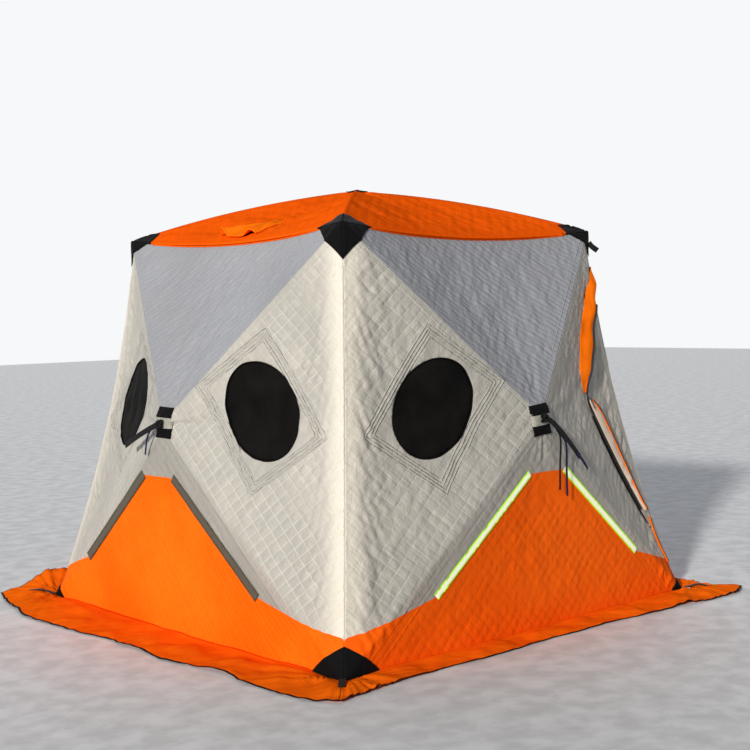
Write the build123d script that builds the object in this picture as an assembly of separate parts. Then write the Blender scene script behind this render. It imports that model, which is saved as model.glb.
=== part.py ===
"""Ice fishing hut: a pop-up hub shelter of quilted, insulated fabric over sprung poles.

Frame: millimetres, +Z up, origin on the ground under the middle of the hut.
The front wall, with the door, faces -Y. Each wall is a shallow pyramid of four fabric
panels round a hub that is pushed outwards, and four poles run from the hub to the wall's
top corners and to feet beside its bottom corners. "Left" and "right" are as seen from
outside, facing the wall. Every piece of a wall is modelled on the front wall, and turned
about Z for the other three.
"""
from build123d import *
from math import atan2, degrees
import os

# ---- Overall form ----
BASE_HALF = 1100.0          # half of the square footprint, at the wall's bottom corners
TOP_HALF = 790.0            # half of the square at the top corners
CORNER_HEIGHT = 1760.0      # ground to the top corners
HUB_REACH = 1158.0          # centre of the hut to a wall hub
HUB_HEIGHT = 931.0          # ground to a wall hub
ROOF_RISE = 224.0           # top corners up to the roof hub
CORNER_BOW = 42.0           # how far a corner edge is pulled in at mid height, along X and Y
TOP_EDGE_SAG = 45.0         # drop of a wall's top edge at its middle
TOP_EDGE_PULL = 40.0        # how far that middle is pulled in
BOTTOM_EDGE_BULGE = 25.0    # how far the bottom edge stands out at its middle
FOOT_INSET = 115.0          # bottom corner to a pole's foot, along the bottom edge
EDGE_CHORDS = 8             # straight stretches that make up a curved seam

# ---- Fabric ----
QUILT = 5.0                 # wall and roof fabric: outer cloth, wadding and lining
FILM = 1.0                  # window film
PATCH_CLOTH = 1.5           # reinforcing cloth at the corners
TAPE = 1.0                  # reflective tape
FLAP_CLOTH = 2.5            # storm flaps and vent hood
SKIRT_CLOTH = 2.0           # ground skirt
SEWN_GAP = 0.3              # between one soft piece and the piece it is sewn on
HEM_GAP = 0.8               # between the wall's bottom edge and the skirt

# ---- Windows ----
WINDOW_HALF_WIDTH = 160.0
WINDOW_HALF_LENGTH = 226.0
WINDOW_TILT = 36.0          # degrees: the top leans towards the hub
WINDOW_OFFSET = 490.0       # middle of the wall to the window's centre
WINDOW_HEIGHT = 993.0

# ---- Door, in the front wall's right panel ----
DOOR_HEAD_DROP = 215.0      # top corner down to the door's upper end
DOOR_SILL = 310.0           # ground up to the door's lower end
HINGE_INSET_HEAD = 30.0     # corner edge to the hinge line at the upper end
HINGE_INSET_SILL = 88.0     # the same at the lower end
DOOR_WIDTH = 335.0          # hinge line to the tip of the zip
DOOR_TIP_ABOVE_HUB = 34.0
DOOR_TIP_RADIUS = 90.0
DOOR_END_RADIUS = 14.0
DOOR_GAP = 5.0              # all round the door
ZIP_WIDTH = 12.0
ZIP_THICKNESS = 2.0
SLIDER_WIDTH = 11.0
SLIDER_LENGTH = 20.0
SLIDER_THICKNESS = 4.0
SLIDER_INSET = 9.0             # edge of the door to the slider's middle
PULLER_WIDTH = 7.0
PULLER_LENGTH = 52.0
PULLER_THICKNESS = 1.5
FLAP_WIDTH = 92.0           # storm flap beside the upper run of the zip
FLAP_LOWER_WIDTH = 70.0     # storm flap beside the lower run
FLAP_LOWER_LENGTH = 600.0

# ---- Hubs, poles and their fittings ----
ROUND_SIDES = 12            # flats that make up a round pole, hub or bolt
POLE_RADIUS = 4.75
POLE_STOP = 14.0            # centre of a hub or block to the end of the pole in it
HUB_RADIUS = 32.0
HUB_THICKNESS = 22.0
HUB_SETBACK = 34.0          # hub's centre behind the fabric's apex
BOLT_RADIUS = 8.0
BOLT_PROUD = 4.0
BOLT_CLEARANCE = 0.3
HUB_PATCH_HALF = 67.0       # half height of the reinforcing patch over a wall hub
HUB_PATCH_FOOT = 45.0       # half width of that patch at its lower edge
HUB_PATCH_TUCK = 4.0        # how far that lower edge lies behind the hub
ROOF_PATCH_HALF = 60.0      # half width of the patch over the roof hub
BLOCK_RADIUS = 17.0
BLOCK_HEIGHT = 34.0
BLOCK_SETBACK = 58.0        # corner of the fabric to the block's centre
FOOT_RADIUS = 9.0
FOOT_LENGTH = 40.0
FOOT_SETBACK = 24.0         # bottom edge of the fabric to the pole's axis at the foot
FOOT_LIFT = 12.0            # ground to the end of the pole

# ---- Trim ----
TOP_PATCH_DOWN = 160.0      # corner patches, as seen along the hut's diagonal: reach down the corner edge
TOP_PATCH_HALF = 88.0       # half width at the top edges
BOTTOM_PATCH_UP = 116.0     # reach up the corner edge from the ground
BOTTOM_PATCH_HALF = 95.0
PATCH_DEPTH = 100.0         # reach inwards along the diagonal
TAPE_WIDTH = 32.0
TAPE_TOP = (118.0, 690.0)       # middle of the tape's upper end: from the middle of the pair, height
TAPE_BOTTOM = (663.0, 250.0)    # middle of its lower end
TAPE_SHIFT = {"front": 42.0, "left": -64.0, "back": 42.0, "right": -64.0}   # pair's middle, from the wall's
STRAP_WIDTH = 25.0
STRAP_THICKNESS = 2.0
PULL_STRAP_ABOVE = 22.0     # above the bolt
PULL_STRAP_BELOW = {"front": 390.0, "left": 305.0, "back": 305.0, "right": 305.0}   # below it
PULL_STRAP_LEAN = {"front": -50.0, "left": 70.0, "back": 70.0, "right": 70.0}       # degrees from plumb
SKIRT_FRONT_WIDTH = 195.0   # front and back skirts
SKIRT_SIDE_WIDTH = 255.0    # left and right skirts
ANCHOR_STRAP_SETBACK = 4.0  # corner of the fabric to the strap's inner end
ANCHOR_STRAP_LENGTH = 120.0
BUCKLE_LENGTH = 24.0        # rectangular loop at the end of an anchor strap
BUCKLE_WIDTH = 34.0
BUCKLE_BAR = 5.0
BUCKLE_THICKNESS = 4.0
EYELET_RADIUS = 10.0           # metal ring on an anchor strap, by the corner of the hut
EYELET_HOLE = 5.0
EYELET_THICKNESS = 1.5
EYELET_ALONG = 30.0
VENT_RADIUS = 40.0
VENT_ALONG = -60.0          # vent's place from the middle of the left roof panel
VENT_UP = 170.0             # and its place up from the panel's lower edge, in plan
HOOD_HALF_WIDTH = 95.0
HOOD_DEPTH = 130.0
HOOD_HEIGHT = 45.0

WALL_TURN = {"front": 0, "left": -90, "back": 180, "right": 90}
SIDES = {"left": -1, "right": 1}
FAR = 4000.0                    # longer than anything here: depth of cutting prisms


# ---- Points and curves ----
def middle(a, b):
    return (a + b) * 0.5


def bowed(start, end, bow):
    """Control points of the quadratic curve from start to end that passes bow off its chord."""
    return [start, middle(start, end) + bow * 2, end]


def curve_point(curve, t):
    start, control, end = curve
    return start * (1 - t) ** 2 + control * (2 * t * (1 - t)) + end * t ** 2


def chords(curve):
    """Points along a curve, evenly spread in its parameter."""
    return [curve_point(curve, step / EDGE_CHORDS) for step in range(EDGE_CHORDS + 1)]


def parameter_at(curve, reached):
    """Parameter where reached(point) first turns true, by bisection."""
    low, high = 0.0, 1.0
    for _ in range(50):
        half = (low + high) / 2
        if reached(curve_point(curve, half)):
            high = half
        else:
            low = half
    return high


HUB = Vector(0, -HUB_REACH, HUB_HEIGHT)
PEAK = Vector(0, 0, CORNER_HEIGHT + ROOF_RISE)


def top_corner(side):
    return Vector(side * TOP_HALF, -TOP_HALF, CORNER_HEIGHT)


def bottom_corner(side):
    return Vector(side * BASE_HALF, -BASE_HALF, 0)


def foot(side):
    """Where a lower pole's crease meets the bottom edge."""
    return bottom_corner(side) - Vector(side * FOOT_INSET, 0, 0)


def patch_top(side):
    """Upper corner of the hub patch, on the crease from the hub to the top corner."""
    return HUB + (top_corner(side) - HUB) * (HUB_PATCH_HALF / (CORNER_HEIGHT - HUB_HEIGHT))


def patch_bottom(side):
    return HUB + Vector(side * HUB_PATCH_FOOT, HUB_PATCH_TUCK, -HUB_PATCH_HALF)


def corner_edge(side):
    return bowed(top_corner(side), bottom_corner(side), Vector(-side * CORNER_BOW, CORNER_BOW, 0))


def roof_patch_corner(side):
    return PEAK + (top_corner(side) - PEAK) * (ROOF_PATCH_HALF / TOP_HALF)


TOP_EDGE = chords(bowed(top_corner(-1), top_corner(1), Vector(0, TOP_EDGE_PULL, -TOP_EDGE_SAG)))
BOTTOM_EDGE = chords(bowed(foot(-1), foot(1), Vector(0, -BOTTOM_EDGE_BULGE, 0)))


# ---- Fabric: flat gores that fan out from the hub, given thickness towards the origin ----
def gores(near, far, *wing):
    """Triangles between the two points beside a hub and the points of a far seam.

    wing is one more corner, past the last of both.
    """
    half = len(far) // 2
    fans = [(near[0], far[i], far[i + 1]) for i in range(half)]
    fans.append((near[0], far[half], near[1]))
    fans += [(near[1], far[i], far[i + 1]) for i in range(half, len(far) - 1)]
    return fans + [(near[1], far[-1], corner) for corner in wing]


def around(rim, crown):
    """Triangles between a ring of points and a crown."""
    return [(a, b, crown) for a, b in zip(rim, rim[1:] + rim[:1])]


def distance_to(a, b, c):
    """Distance from the origin to the plane through three points."""
    normal = (b - a).cross(c - a).normalized()
    return abs(normal.dot(a))


def flat(points):
    return make_face(Polyline(*points, close=True))


def cloth(triangles, outer, inner):
    """Fabric between two copies of a set of triangles, moved out by outer and by inner.

    Both faces are the triangles scaled about the origin, so the rims of neighbouring panels
    lie in the same planes through the origin, and neighbours meet face to face.
    """
    distance = max(distance_to(*triangle) for triangle in triangles)
    above, below = 1 + outer / distance, 1 + inner / distance
    faces = [flat([p * scale for p in triangle]) for triangle in triangles for scale in (above, below)]
    edges = [(a, b) for t in triangles for a, b in zip(t, t[1:] + t[:1])]
    keys = [frozenset((tuple(a), tuple(b))) for a, b in edges]
    for (a, b), key in zip(edges, keys):
        if keys.count(key) == 1:
            faces.append(flat([a * above, b * above, b * below, a * below]))
    return Solid(Shell(faces))


def panel(triangles):
    return cloth(triangles, 0, -QUILT)


def layer(triangles, thickness):
    """Cloth sewn on the outside of a panel."""
    return cloth(triangles, SEWN_GAP + thickness, SEWN_GAP)


HUB_TOP = [patch_top(-1), patch_top(1)]
HUB_FOOT = [patch_bottom(-1), patch_bottom(1)]
ROOF_TOP = [roof_patch_corner(-1), roof_patch_corner(1)]
TOP_GORES = gores(HUB_TOP, TOP_EDGE)
LOWER_GORES = gores(HUB_FOOT, BOTTOM_EDGE)
SIDE_GORES = {s: gores([patch_top(s), patch_bottom(s)], chords(corner_edge(s)), foot(s)) for s in (-1, 1)}
ROOF_GORES = gores(ROOF_TOP, TOP_EDGE)
HUB_GORES = around(HUB_TOP + HUB_FOOT[::-1], HUB)
ROOF_HUB_GORES = around(ROOF_TOP + [p.rotate(Axis.Z, 180) for p in ROOF_TOP], PEAK)


# ---- Cutting prisms, drawn on the front wall's elevation: X across, Z up ----
ELEVATION = Plane(origin=(0, 0, 0), x_dir=(1, 0, 0), z_dir=(0, -1, 0))


def prism(face):
    """A face drawn in elevation, made into a prism through the front wall."""
    return extrude(ELEVATION * face, amount=FAR)


def window_prism(side):
    window = Ellipse(WINDOW_HALF_WIDTH, WINDOW_HALF_LENGTH, rotation=side * WINDOW_TILT)
    return prism(Pos(side * WINDOW_OFFSET, WINDOW_HEIGHT) * window)


def corner_half_width(height):
    """Half width of the front wall at a height, at its corner edge."""
    edge = corner_edge(1)
    return curve_point(edge, parameter_at(edge, lambda p: p.Z <= height)).X


HEAD_HEIGHT = CORNER_HEIGHT - DOOR_HEAD_DROP
HINGE_HEAD = Vector(corner_half_width(HEAD_HEIGHT) - HINGE_INSET_HEAD, HEAD_HEIGHT)
HINGE_SILL = Vector(corner_half_width(DOOR_SILL) - HINGE_INSET_SILL, DOOR_SILL)


def hinge_at(height):
    share = (height - HINGE_SILL.Y) / (HINGE_HEAD.Y - HINGE_SILL.Y)
    return HINGE_SILL + (HINGE_HEAD - HINGE_SILL) * share


DOOR_TIP = hinge_at(HUB_HEIGHT + DOOR_TIP_ABOVE_HUB) - Vector(DOOR_WIDTH, 0)


def doorway_face():
    """Doorway: a straight hinge line, and a zip that runs out to a rounded tip and back."""
    radii = [DOOR_END_RADIUS, DOOR_TIP_RADIUS, DOOR_END_RADIUS]
    return make_face(FilletPolyline(HINGE_HEAD, DOOR_TIP, HINGE_SILL, close=True, radius=radii))


def door_face():
    return offset(doorway_face(), amount=-DOOR_GAP)


def beside_hinge(half_width):
    """Band of the given half width along the hinge line."""
    return make_face(offset(Polyline(HINGE_HEAD, HINGE_SILL), amount=half_width).edges())


def zip_face():
    """Band along the door's zipped edges, which stops short of the hinge."""
    band = door_face() - offset(doorway_face(), amount=-DOOR_GAP - ZIP_WIDTH)
    return band - beside_hinge(ZIP_WIDTH * 2)


def zip_slider():
    """Slider at the rounded tip of the zip, with its puller hanging down along the zip's lower run."""
    place = Vector(zip_face().bounding_box().min.X + SLIDER_INSET, DOOR_TIP.Y)
    run = (HINGE_SILL - DOOR_TIP).normalized()
    slider = Pos(place) * Rectangle(SLIDER_WIDTH, SLIDER_LENGTH)
    puller = Pos(place + run * PULLER_LENGTH / 2) * Rectangle(
        PULLER_LENGTH, PULLER_WIDTH, rotation=degrees(atan2(run.Y, run.X)))
    base = ZIP_THICKNESS + 2 * SEWN_GAP
    return (cloth(SIDE_GORES[1], base + SLIDER_THICKNESS, base) & prism(slider)) + (
        cloth(SIDE_GORES[1], base + PULLER_THICKNESS, base) & prism(puller))


def along(start, end, distance):
    return start + (end - start).normalized() * distance


def hubwards(start, end, distance):
    """Offset vector, distance to the hub's side of the line from start to end."""
    run = (end - start).normalized()
    way = Vector(-run.Y, run.X)
    return way * (-distance if way.X > 0 else distance)


def leaf_face(start, end, width):
    """Leaf shape on the hub's side of a stretch of the zip, widest at its middle."""
    seam = hubwards(start, end, SEWN_GAP)
    crown = middle(start, end) + hubwards(start, end, width)
    return make_face([Line(start + seam, end + seam), ThreePointArc(end + seam, crown, start + seam)])


def storm_flap_faces():
    upper = leaf_face(along(HINGE_HEAD, DOOR_TIP, FLAP_WIDTH),
                      along(DOOR_TIP, HINGE_HEAD, DOOR_TIP_RADIUS), FLAP_WIDTH)
    lower = leaf_face(along(DOOR_TIP, HINGE_SILL, DOOR_TIP_RADIUS),
                      along(DOOR_TIP, HINGE_SILL, FLAP_LOWER_LENGTH), FLAP_LOWER_WIDTH)
    return [upper, lower]


# ---- Fabric pieces ----
def turned(shape, wall):
    return Rot(0, 0, WALL_TURN[wall]) * shape


def wall_panels(wall):
    """The four fabric panels of one wall, with its windows or doorway cut through."""
    panels = {"top": panel(TOP_GORES), "lower": panel(LOWER_GORES)}
    for name, side in SIDES.items():
        has_door = wall == "front" and name == "right"
        opening = prism(doorway_face()) if has_door else window_prism(side)
        panels[name] = panel(SIDE_GORES[side]) - opening
    return {name: turned(shape, wall) for name, shape in panels.items()}


def window_pane(side):
    mid_depth = -QUILT / 2
    return cloth(SIDE_GORES[side], mid_depth + FILM / 2, mid_depth - FILM / 2) & window_prism(side)


def window_panes():
    panes = {name: window_pane(side) for name, side in SIDES.items()}
    return [turned(pane, wall) for wall in WALL_TURN for name, pane in panes.items()
            if (wall, name) != ("front", "right")]


def corner_patch(corner, outline, layers):
    """Reinforcing cloth over one corner of the hut, outlined as seen along its diagonal."""
    diagonal = Plane(origin=corner, x_dir=(1, 1, 0), z_dir=(1, -1, 0))
    cutter = extrude(diagonal * flat(outline), amount=PATCH_DEPTH, both=True)
    pieces = [sheet & cutter for sheet in layers]
    return pieces[0] + pieces[1:]


def corner_patches():
    """Cloth over the right front corner: top of the walls, roof, and foot of the walls."""
    sides = [layer(SIDE_GORES[1], PATCH_CLOTH), turned(layer(SIDE_GORES[-1], PATCH_CLOTH), "right")]
    tops = [turned(layer(TOP_GORES, PATCH_CLOTH), wall) for wall in ("front", "right")]
    roofs = [turned(layer(ROOF_GORES, PATCH_CLOTH), wall) for wall in ("front", "right")]
    upper = [(0, -TOP_PATCH_DOWN), (TOP_PATCH_HALF, 0), (TOP_PATCH_HALF, PATCH_DEPTH),
             (-TOP_PATCH_HALF, PATCH_DEPTH), (-TOP_PATCH_HALF, 0)]
    hem = SKIRT_CLOTH + SEWN_GAP
    lower = [(0, BOTTOM_PATCH_UP), (BOTTOM_PATCH_HALF, hem), (-BOTTOM_PATCH_HALF, hem)]
    return {
        "top_corner_patches": corner_patch(top_corner(1), upper, sides),
        "top_edge_patches": corner_patch(top_corner(1), upper, tops),
        "roof_corner_patches": corner_patch(top_corner(1), upper, roofs),
        "bottom_corner_patches": corner_patch(bottom_corner(1), lower, sides),
    }


def tape_strips(shift):
    """Pair of tapes on the front wall's lower panel, its middle shifted along the wall."""
    top, bottom = Vector(*TAPE_TOP), Vector(*TAPE_BOTTOM)
    place = middle(top, bottom)
    slope = degrees(atan2(bottom.Y - top.Y, bottom.X - top.X))
    strips = []
    for side in (-1, 1):
        strip = Rectangle((bottom - top).length, TAPE_WIDTH, rotation=side * slope)
        strips.append(layer(LOWER_GORES, TAPE) & prism(Pos(shift + side * place.X, place.Y) * strip))
    return strips


def skirt(width, neighbour_width):
    """Cloth laid on the ground along the front wall, mitred to the skirts beside it."""
    out = BASE_HALF + width
    half = BASE_HALF + neighbour_width
    hem = Vector(0, -HEM_GAP, 0)
    inner = [p + hem for p in [bottom_corner(-1)] + BOTTOM_EDGE + [bottom_corner(1)]]
    return extrude(flat(inner + [(half, -out), (-half, -out)]), amount=SKIRT_CLOTH, dir=(0, 0, 1))


# ---- The sprung frame ----
def bar(radius, length):
    """Round bar along Z, from the origin upwards, made up of flats."""
    return extrude(RegularPolygon(radius, ROUND_SIDES), amount=length)


def rod(start, end):
    """Pole between the centres of two fittings, which stops short of both."""
    way = (end - start).normalized()
    return Plane(origin=start + way * POLE_STOP, z_dir=way) * bar(
        POLE_RADIUS, (end - start).length - 2 * POLE_STOP)


def hub_centre():
    return HUB + Vector(0, HUB_SETBACK, 0)


def roof_hub_centre():
    return PEAK - Vector(0, 0, HUB_SETBACK)


def block_centre(side):
    corner = top_corner(side)
    return corner - corner.normalized() * BLOCK_SETBACK


def foot_centre(side):
    return foot(side) + Vector(0, FOOT_SETBACK, FOOT_LIFT)


def wall_rods():
    rods = {}
    for name, side in SIDES.items():
        rods["upper " + name] = rod(hub_centre(), block_centre(side))
        rods["lower " + name] = rod(hub_centre(), foot_centre(side))
    return rods


def hub_body(centre, outward, rods):
    """Hub disc with sockets for its poles, and the bolt that holds the fabric to it."""
    disc = Pos(0, 0, -HUB_THICKNESS / 2) * bar(HUB_RADIUS, HUB_THICKNESS)
    bolt = bar(BOLT_RADIUS, HUB_SETBACK + BOLT_PROUD)
    return Plane(origin=centre, z_dir=outward) * (disc + bolt) - rods


def bolt_hole(centre, outward):
    return Plane(origin=centre, z_dir=outward) * bar(BOLT_RADIUS + BOLT_CLEARANCE, 2 * HUB_SETBACK)


def pole_foot(side, rods):
    """Cap on the end of a lower pole."""
    centre = foot_centre(side)
    way = (hub_centre() - centre).normalized()
    return Plane(origin=centre, z_dir=way) * bar(FOOT_RADIUS, FOOT_LENGTH) - rods


def pull_strap(wall):
    """Webbing on the hub's bolt, which leans to one side just off the fabric."""
    below = PULL_STRAP_BELOW[wall]
    depth = HUB_REACH + SEWN_GAP + STRAP_THICKNESS / 2
    lean = Pos(0, -depth, HUB_HEIGHT) * Rot(0, PULL_STRAP_LEAN[wall], 0)
    strap = lean * Pos(0, 0, (PULL_STRAP_ABOVE - below) / 2) * Box(
        STRAP_WIDTH, STRAP_THICKNESS, PULL_STRAP_ABOVE + below)
    return turned(strap - bolt_hole(hub_centre(), (0, -1, 0)), wall)


# ---- Stake-out points and vent ----
def anchor_place(distance, lift):
    """Point on the skirt, out from the front right corner along its diagonal."""
    corner = bottom_corner(1)
    way = corner.normalized()
    return Plane(origin=corner + way * distance + Vector(0, 0, lift), x_dir=way, z_dir=(0, 0, 1))


def anchor_strap():
    plane = anchor_place(ANCHOR_STRAP_SETBACK + ANCHOR_STRAP_LENGTH / 2,
                         SKIRT_CLOTH + SEWN_GAP + STRAP_THICKNESS / 2)
    return plane * Box(ANCHOR_STRAP_LENGTH, STRAP_WIDTH, STRAP_THICKNESS)


def anchor_buckle():
    reach = ANCHOR_STRAP_SETBACK + ANCHOR_STRAP_LENGTH + SEWN_GAP + BUCKLE_LENGTH / 2
    loop = Box(BUCKLE_LENGTH, BUCKLE_WIDTH, BUCKLE_THICKNESS)
    loop -= Box(BUCKLE_LENGTH - 2 * BUCKLE_BAR, BUCKLE_WIDTH - 2 * BUCKLE_BAR, BUCKLE_THICKNESS)
    return anchor_place(reach, SKIRT_CLOTH + SEWN_GAP + BUCKLE_THICKNESS / 2) * loop


def anchor_eyelet():
    top = SKIRT_CLOTH + 2 * SEWN_GAP + STRAP_THICKNESS
    return anchor_place(ANCHOR_STRAP_SETBACK + EYELET_ALONG, top) * (
        bar(EYELET_RADIUS, EYELET_THICKNESS) - bar(EYELET_HOLE, EYELET_THICKNESS))


def roof_point(across, up):
    """Point on the front roof panel: from its middle, and in plan from its lower edge."""
    plumb = Axis((across, up - TOP_HALF, 0), (0, 0, 1))
    for triangle in ROOF_GORES:
        hits = flat(triangle).find_intersection_points(plumb)
        if hits:
            return hits[0][0]


def vent_hole():
    return Pos(roof_point(VENT_ALONG, VENT_UP)) * Cylinder(VENT_RADIUS, HOOD_DEPTH)


def vent_hood():
    """Arched hood over the vent, narrow at its back, open towards the roof's lower edge."""
    lift = Vector(0, 0, SEWN_GAP + FLAP_CLOTH)
    ends = []
    for step, half in ((1, HOOD_HALF_WIDTH / 2), (-1, HOOD_HALF_WIDTH)):
        up = VENT_UP + step * HOOD_DEPTH / 2
        ends.append([roof_point(VENT_ALONG + way * half, up) + lift for way in (-1, 1)])
    back, front = ends
    return cloth(gores(back, chords(bowed(*front, Vector(0, 0, HOOD_HEIGHT)))), 0, -FLAP_CLOTH)


# ---- Assembly ----
def build():
    nodes = {}
    for wall in WALL_TURN:
        for name, shape in wall_panels(wall).items():
            nodes[f"{wall}_wall_{name}_panel"] = shape
    roof_panel = panel(ROOF_GORES)
    for wall in WALL_TURN:
        shape = roof_panel - vent_hole() if wall == "left" else roof_panel
        nodes[f"roof_{wall}_panel"] = turned(shape, wall)
    nodes["roof_vent_hood"] = turned(vent_hood(), "left")
    nodes["window_panes"] = window_panes()
    nodes["door_panel"] = panel(SIDE_GORES[1]) & prism(door_face())
    nodes["door_zipper"] = layer(SIDE_GORES[1], ZIP_THICKNESS) & prism(zip_face())
    nodes["zip_slider"] = zip_slider()
    flap_layer = layer(SIDE_GORES[1], FLAP_CLOTH)
    nodes["storm_flaps"] = [flap_layer & prism(face) for face in storm_flap_faces()]

    rods = wall_rods()
    roof_rod = rod(roof_hub_centre(), block_centre(1))
    roof_rods = [turned(roof_rod, wall) for wall in WALL_TURN]
    nodes["wall_poles"] = [turned(pole, wall) for wall in WALL_TURN for pole in rods.values()]
    nodes["roof_poles"] = roof_rods
    wall_hub = hub_body(hub_centre(), (0, -1, 0), list(rods.values()))
    roof_hub = hub_body(roof_hub_centre(), (0, 0, 1), roof_rods)
    nodes["hubs"] = [turned(wall_hub, wall) for wall in WALL_TURN] + [roof_hub]
    block = Pos(block_centre(1) - Vector(0, 0, BLOCK_HEIGHT / 2)) * bar(BLOCK_RADIUS, BLOCK_HEIGHT)
    block -= [rods["upper right"], turned(rods["upper left"], "right"), roof_rod]
    nodes["top_corner_blocks"] = [turned(block, wall) for wall in WALL_TURN]
    feet = [pole_foot(side, rods["lower " + name]) for name, side in SIDES.items()]
    nodes["pole_feet"] = [turned(cap, wall) for wall in WALL_TURN for cap in feet]

    hub_patch = panel(HUB_GORES) - bolt_hole(hub_centre(), (0, -1, 0))
    roof_patch = panel(ROOF_HUB_GORES) - bolt_hole(roof_hub_centre(), (0, 0, 1))
    nodes["hub_patches"] = [turned(hub_patch, wall) for wall in WALL_TURN] + [roof_patch]
    for name, patch in corner_patches().items():
        nodes[name] = [turned(patch, wall) for wall in WALL_TURN]
    nodes["reflective_tapes"] = [turned(strip, wall) for wall, shift in TAPE_SHIFT.items()
                                 for strip in tape_strips(shift)]
    nodes["pull_straps"] = [pull_strap(wall) for wall in WALL_TURN]

    for wall in WALL_TURN:
        widths = [SKIRT_FRONT_WIDTH, SKIRT_SIDE_WIDTH]
        if wall in ("left", "right"):
            widths.reverse()
        nodes[f"{wall}_skirt"] = turned(skirt(*widths), wall)
    nodes["anchor_straps"] = [turned(anchor_strap(), wall) for wall in WALL_TURN]
    nodes["anchor_buckles"] = [turned(anchor_buckle(), wall) for wall in WALL_TURN]
    nodes["anchor_eyelets"] = [turned(anchor_eyelet(), wall) for wall in WALL_TURN]
    return nodes


def main():
    os.makedirs("parts", exist_ok=True)
    for name, shape in build().items():
        solids = []
        for piece in (shape if isinstance(shape, list) else [shape]):
            solids += piece.solids()
        export_step(solids[0] if len(solids) == 1 else Compound(solids), f"parts/{name}.step")


main()
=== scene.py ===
"""Ice fishing hut: quilted skins, trim, window film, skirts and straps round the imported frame.

Metres, Z up, the front wall (with the door) faces -Y. Everything on a wall is drawn on the
front wall's elevation (x across, z up), lifted to the wall's surface, and turned about Z.
"""
import math
import bpy
import numpy as np
from mathutils import Matrix, Vector
from mathutils.geometry import delaunay_2d_cdt


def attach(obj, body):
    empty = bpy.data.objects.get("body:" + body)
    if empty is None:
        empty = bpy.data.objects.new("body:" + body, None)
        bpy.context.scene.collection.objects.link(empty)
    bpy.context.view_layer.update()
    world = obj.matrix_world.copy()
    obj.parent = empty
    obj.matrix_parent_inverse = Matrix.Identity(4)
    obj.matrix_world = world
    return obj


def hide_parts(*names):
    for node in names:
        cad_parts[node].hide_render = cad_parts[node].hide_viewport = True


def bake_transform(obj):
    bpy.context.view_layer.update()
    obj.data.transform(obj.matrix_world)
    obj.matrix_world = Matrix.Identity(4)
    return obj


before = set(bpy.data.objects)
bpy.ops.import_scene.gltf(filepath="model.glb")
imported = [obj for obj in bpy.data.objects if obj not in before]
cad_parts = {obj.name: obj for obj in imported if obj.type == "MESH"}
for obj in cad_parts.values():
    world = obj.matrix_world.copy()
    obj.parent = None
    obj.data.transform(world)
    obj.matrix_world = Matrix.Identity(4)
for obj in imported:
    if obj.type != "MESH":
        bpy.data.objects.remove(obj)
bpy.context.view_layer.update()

# ---------------------------------------------------------------- sizes shared with the frame
BASE, TOP, CORNER_Z = 1.100, 0.790, 1.760
REACH, HUB_Z, RISE = 1.158, 0.931, 0.224
BOW, SAG, PULL, BULGE = 0.042, 0.045, 0.040, 0.025
FOOT = BASE - 0.115
ARCH = 0.030                    # roof poles' arch
CLOTH = 0.005                   # quilted fabric's thickness
CELL = 0.043                    # quilting: distance between stitch lines
STEPS = 5                       # mesh steps across one quilting cell
WALLS = {"front": 0, "left": -90, "back": 180, "right": 90}
WINDOW = dict(at=(0.490, 0.993), half=(0.160, 0.226), tilt=36)
FRAME_AT, FRAME_HALF, FRAME_TILT = (0.490, 0.993), (0.202, 0.285), 38
EDGE_STEP = 0.012               # mesh step along outlines and seams
CLEAR = 0.0045                  # least room between a mesh point inside and a line
DOOR_GAP = 0.005                # the door cloth's edge to the doorway's
HINGE_LAP = 0.020               # how far the cloth runs past the hinge line, on either side
UV_UNIT = 0.05                  # metres to one UV unit on plain cloth
FAR = 9.0                       # a distance that stands for none


# ---------------------------------------------------------------- plain maths
def arr(*v):
    return np.array(v, float)


def bez(c, t):
    t = np.asarray(t, float).reshape(-1, 1)
    return c[0] * (1 - t) ** 2 + c[1] * 2 * t * (1 - t) + c[2] * t ** 2


def bowed(a, b, bow):
    return np.array([a, (a + b) / 2 + 2 * bow, b])


def smooth(x, lo, hi):
    t = np.clip((x - lo) / (hi - lo), 0, 1)
    return t * t * (3 - 2 * t)


def waves(p, size, seed, count=16, stretch=(1, 1)):
    """Smooth noise of about -1 to 1 over points p (n, 2), with features of about that size."""
    r = np.random.RandomState(seed)
    ang = r.uniform(0, 2 * math.pi, count)
    k = 2 * math.pi / (size * r.uniform(0.6, 1.7, count))
    ph = r.uniform(0, 2 * math.pi, count)
    q = p / np.array(stretch)
    return sum(np.cos(k[i] * (q[:, 0] * math.cos(ang[i]) + q[:, 1] * math.sin(ang[i])) + ph[i])
               for i in range(count)) / math.sqrt(count / 1.6)


def spot(p, centre, radius, spokes, seed):
    """Wrinkles that fan out from a point and die away with distance."""
    d = p - np.array(centre)
    r = np.hypot(d[:, 0], d[:, 1])
    a = np.arctan2(d[:, 1], d[:, 0])
    ring = np.stack([np.cos(a), np.sin(a)], 1) * spokes / (2 * math.pi)
    return waves(ring, 1.0, seed) * np.exp(-r / radius) * smooth(r, 0.02, 0.09)


def resample(points, step):
    out = []
    for a, b in zip(points, points[1:]):
        n = max(1, int(round(np.linalg.norm(b - a) / step)))
        out += [a + (b - a) * i / n for i in range(n)]
    return np.array(out + [points[-1]])


def ring(points, step):
    return resample(list(points) + [points[0]], step)[:-1]


def inside(p, poly):
    x, y = p[:, 0][:, None], p[:, 1][:, None]
    a, b = poly, np.roll(poly, -1, 0)
    cross = (a[:, 1] > y) != (b[:, 1] > y)
    with np.errstate(divide="ignore", invalid="ignore"):
        at = (b[:, 0] - a[:, 0]) * (y - a[:, 1]) / (b[:, 1] - a[:, 1]) + a[:, 0]
    return (cross & (x < at)).sum(1) % 2 == 1


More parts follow.
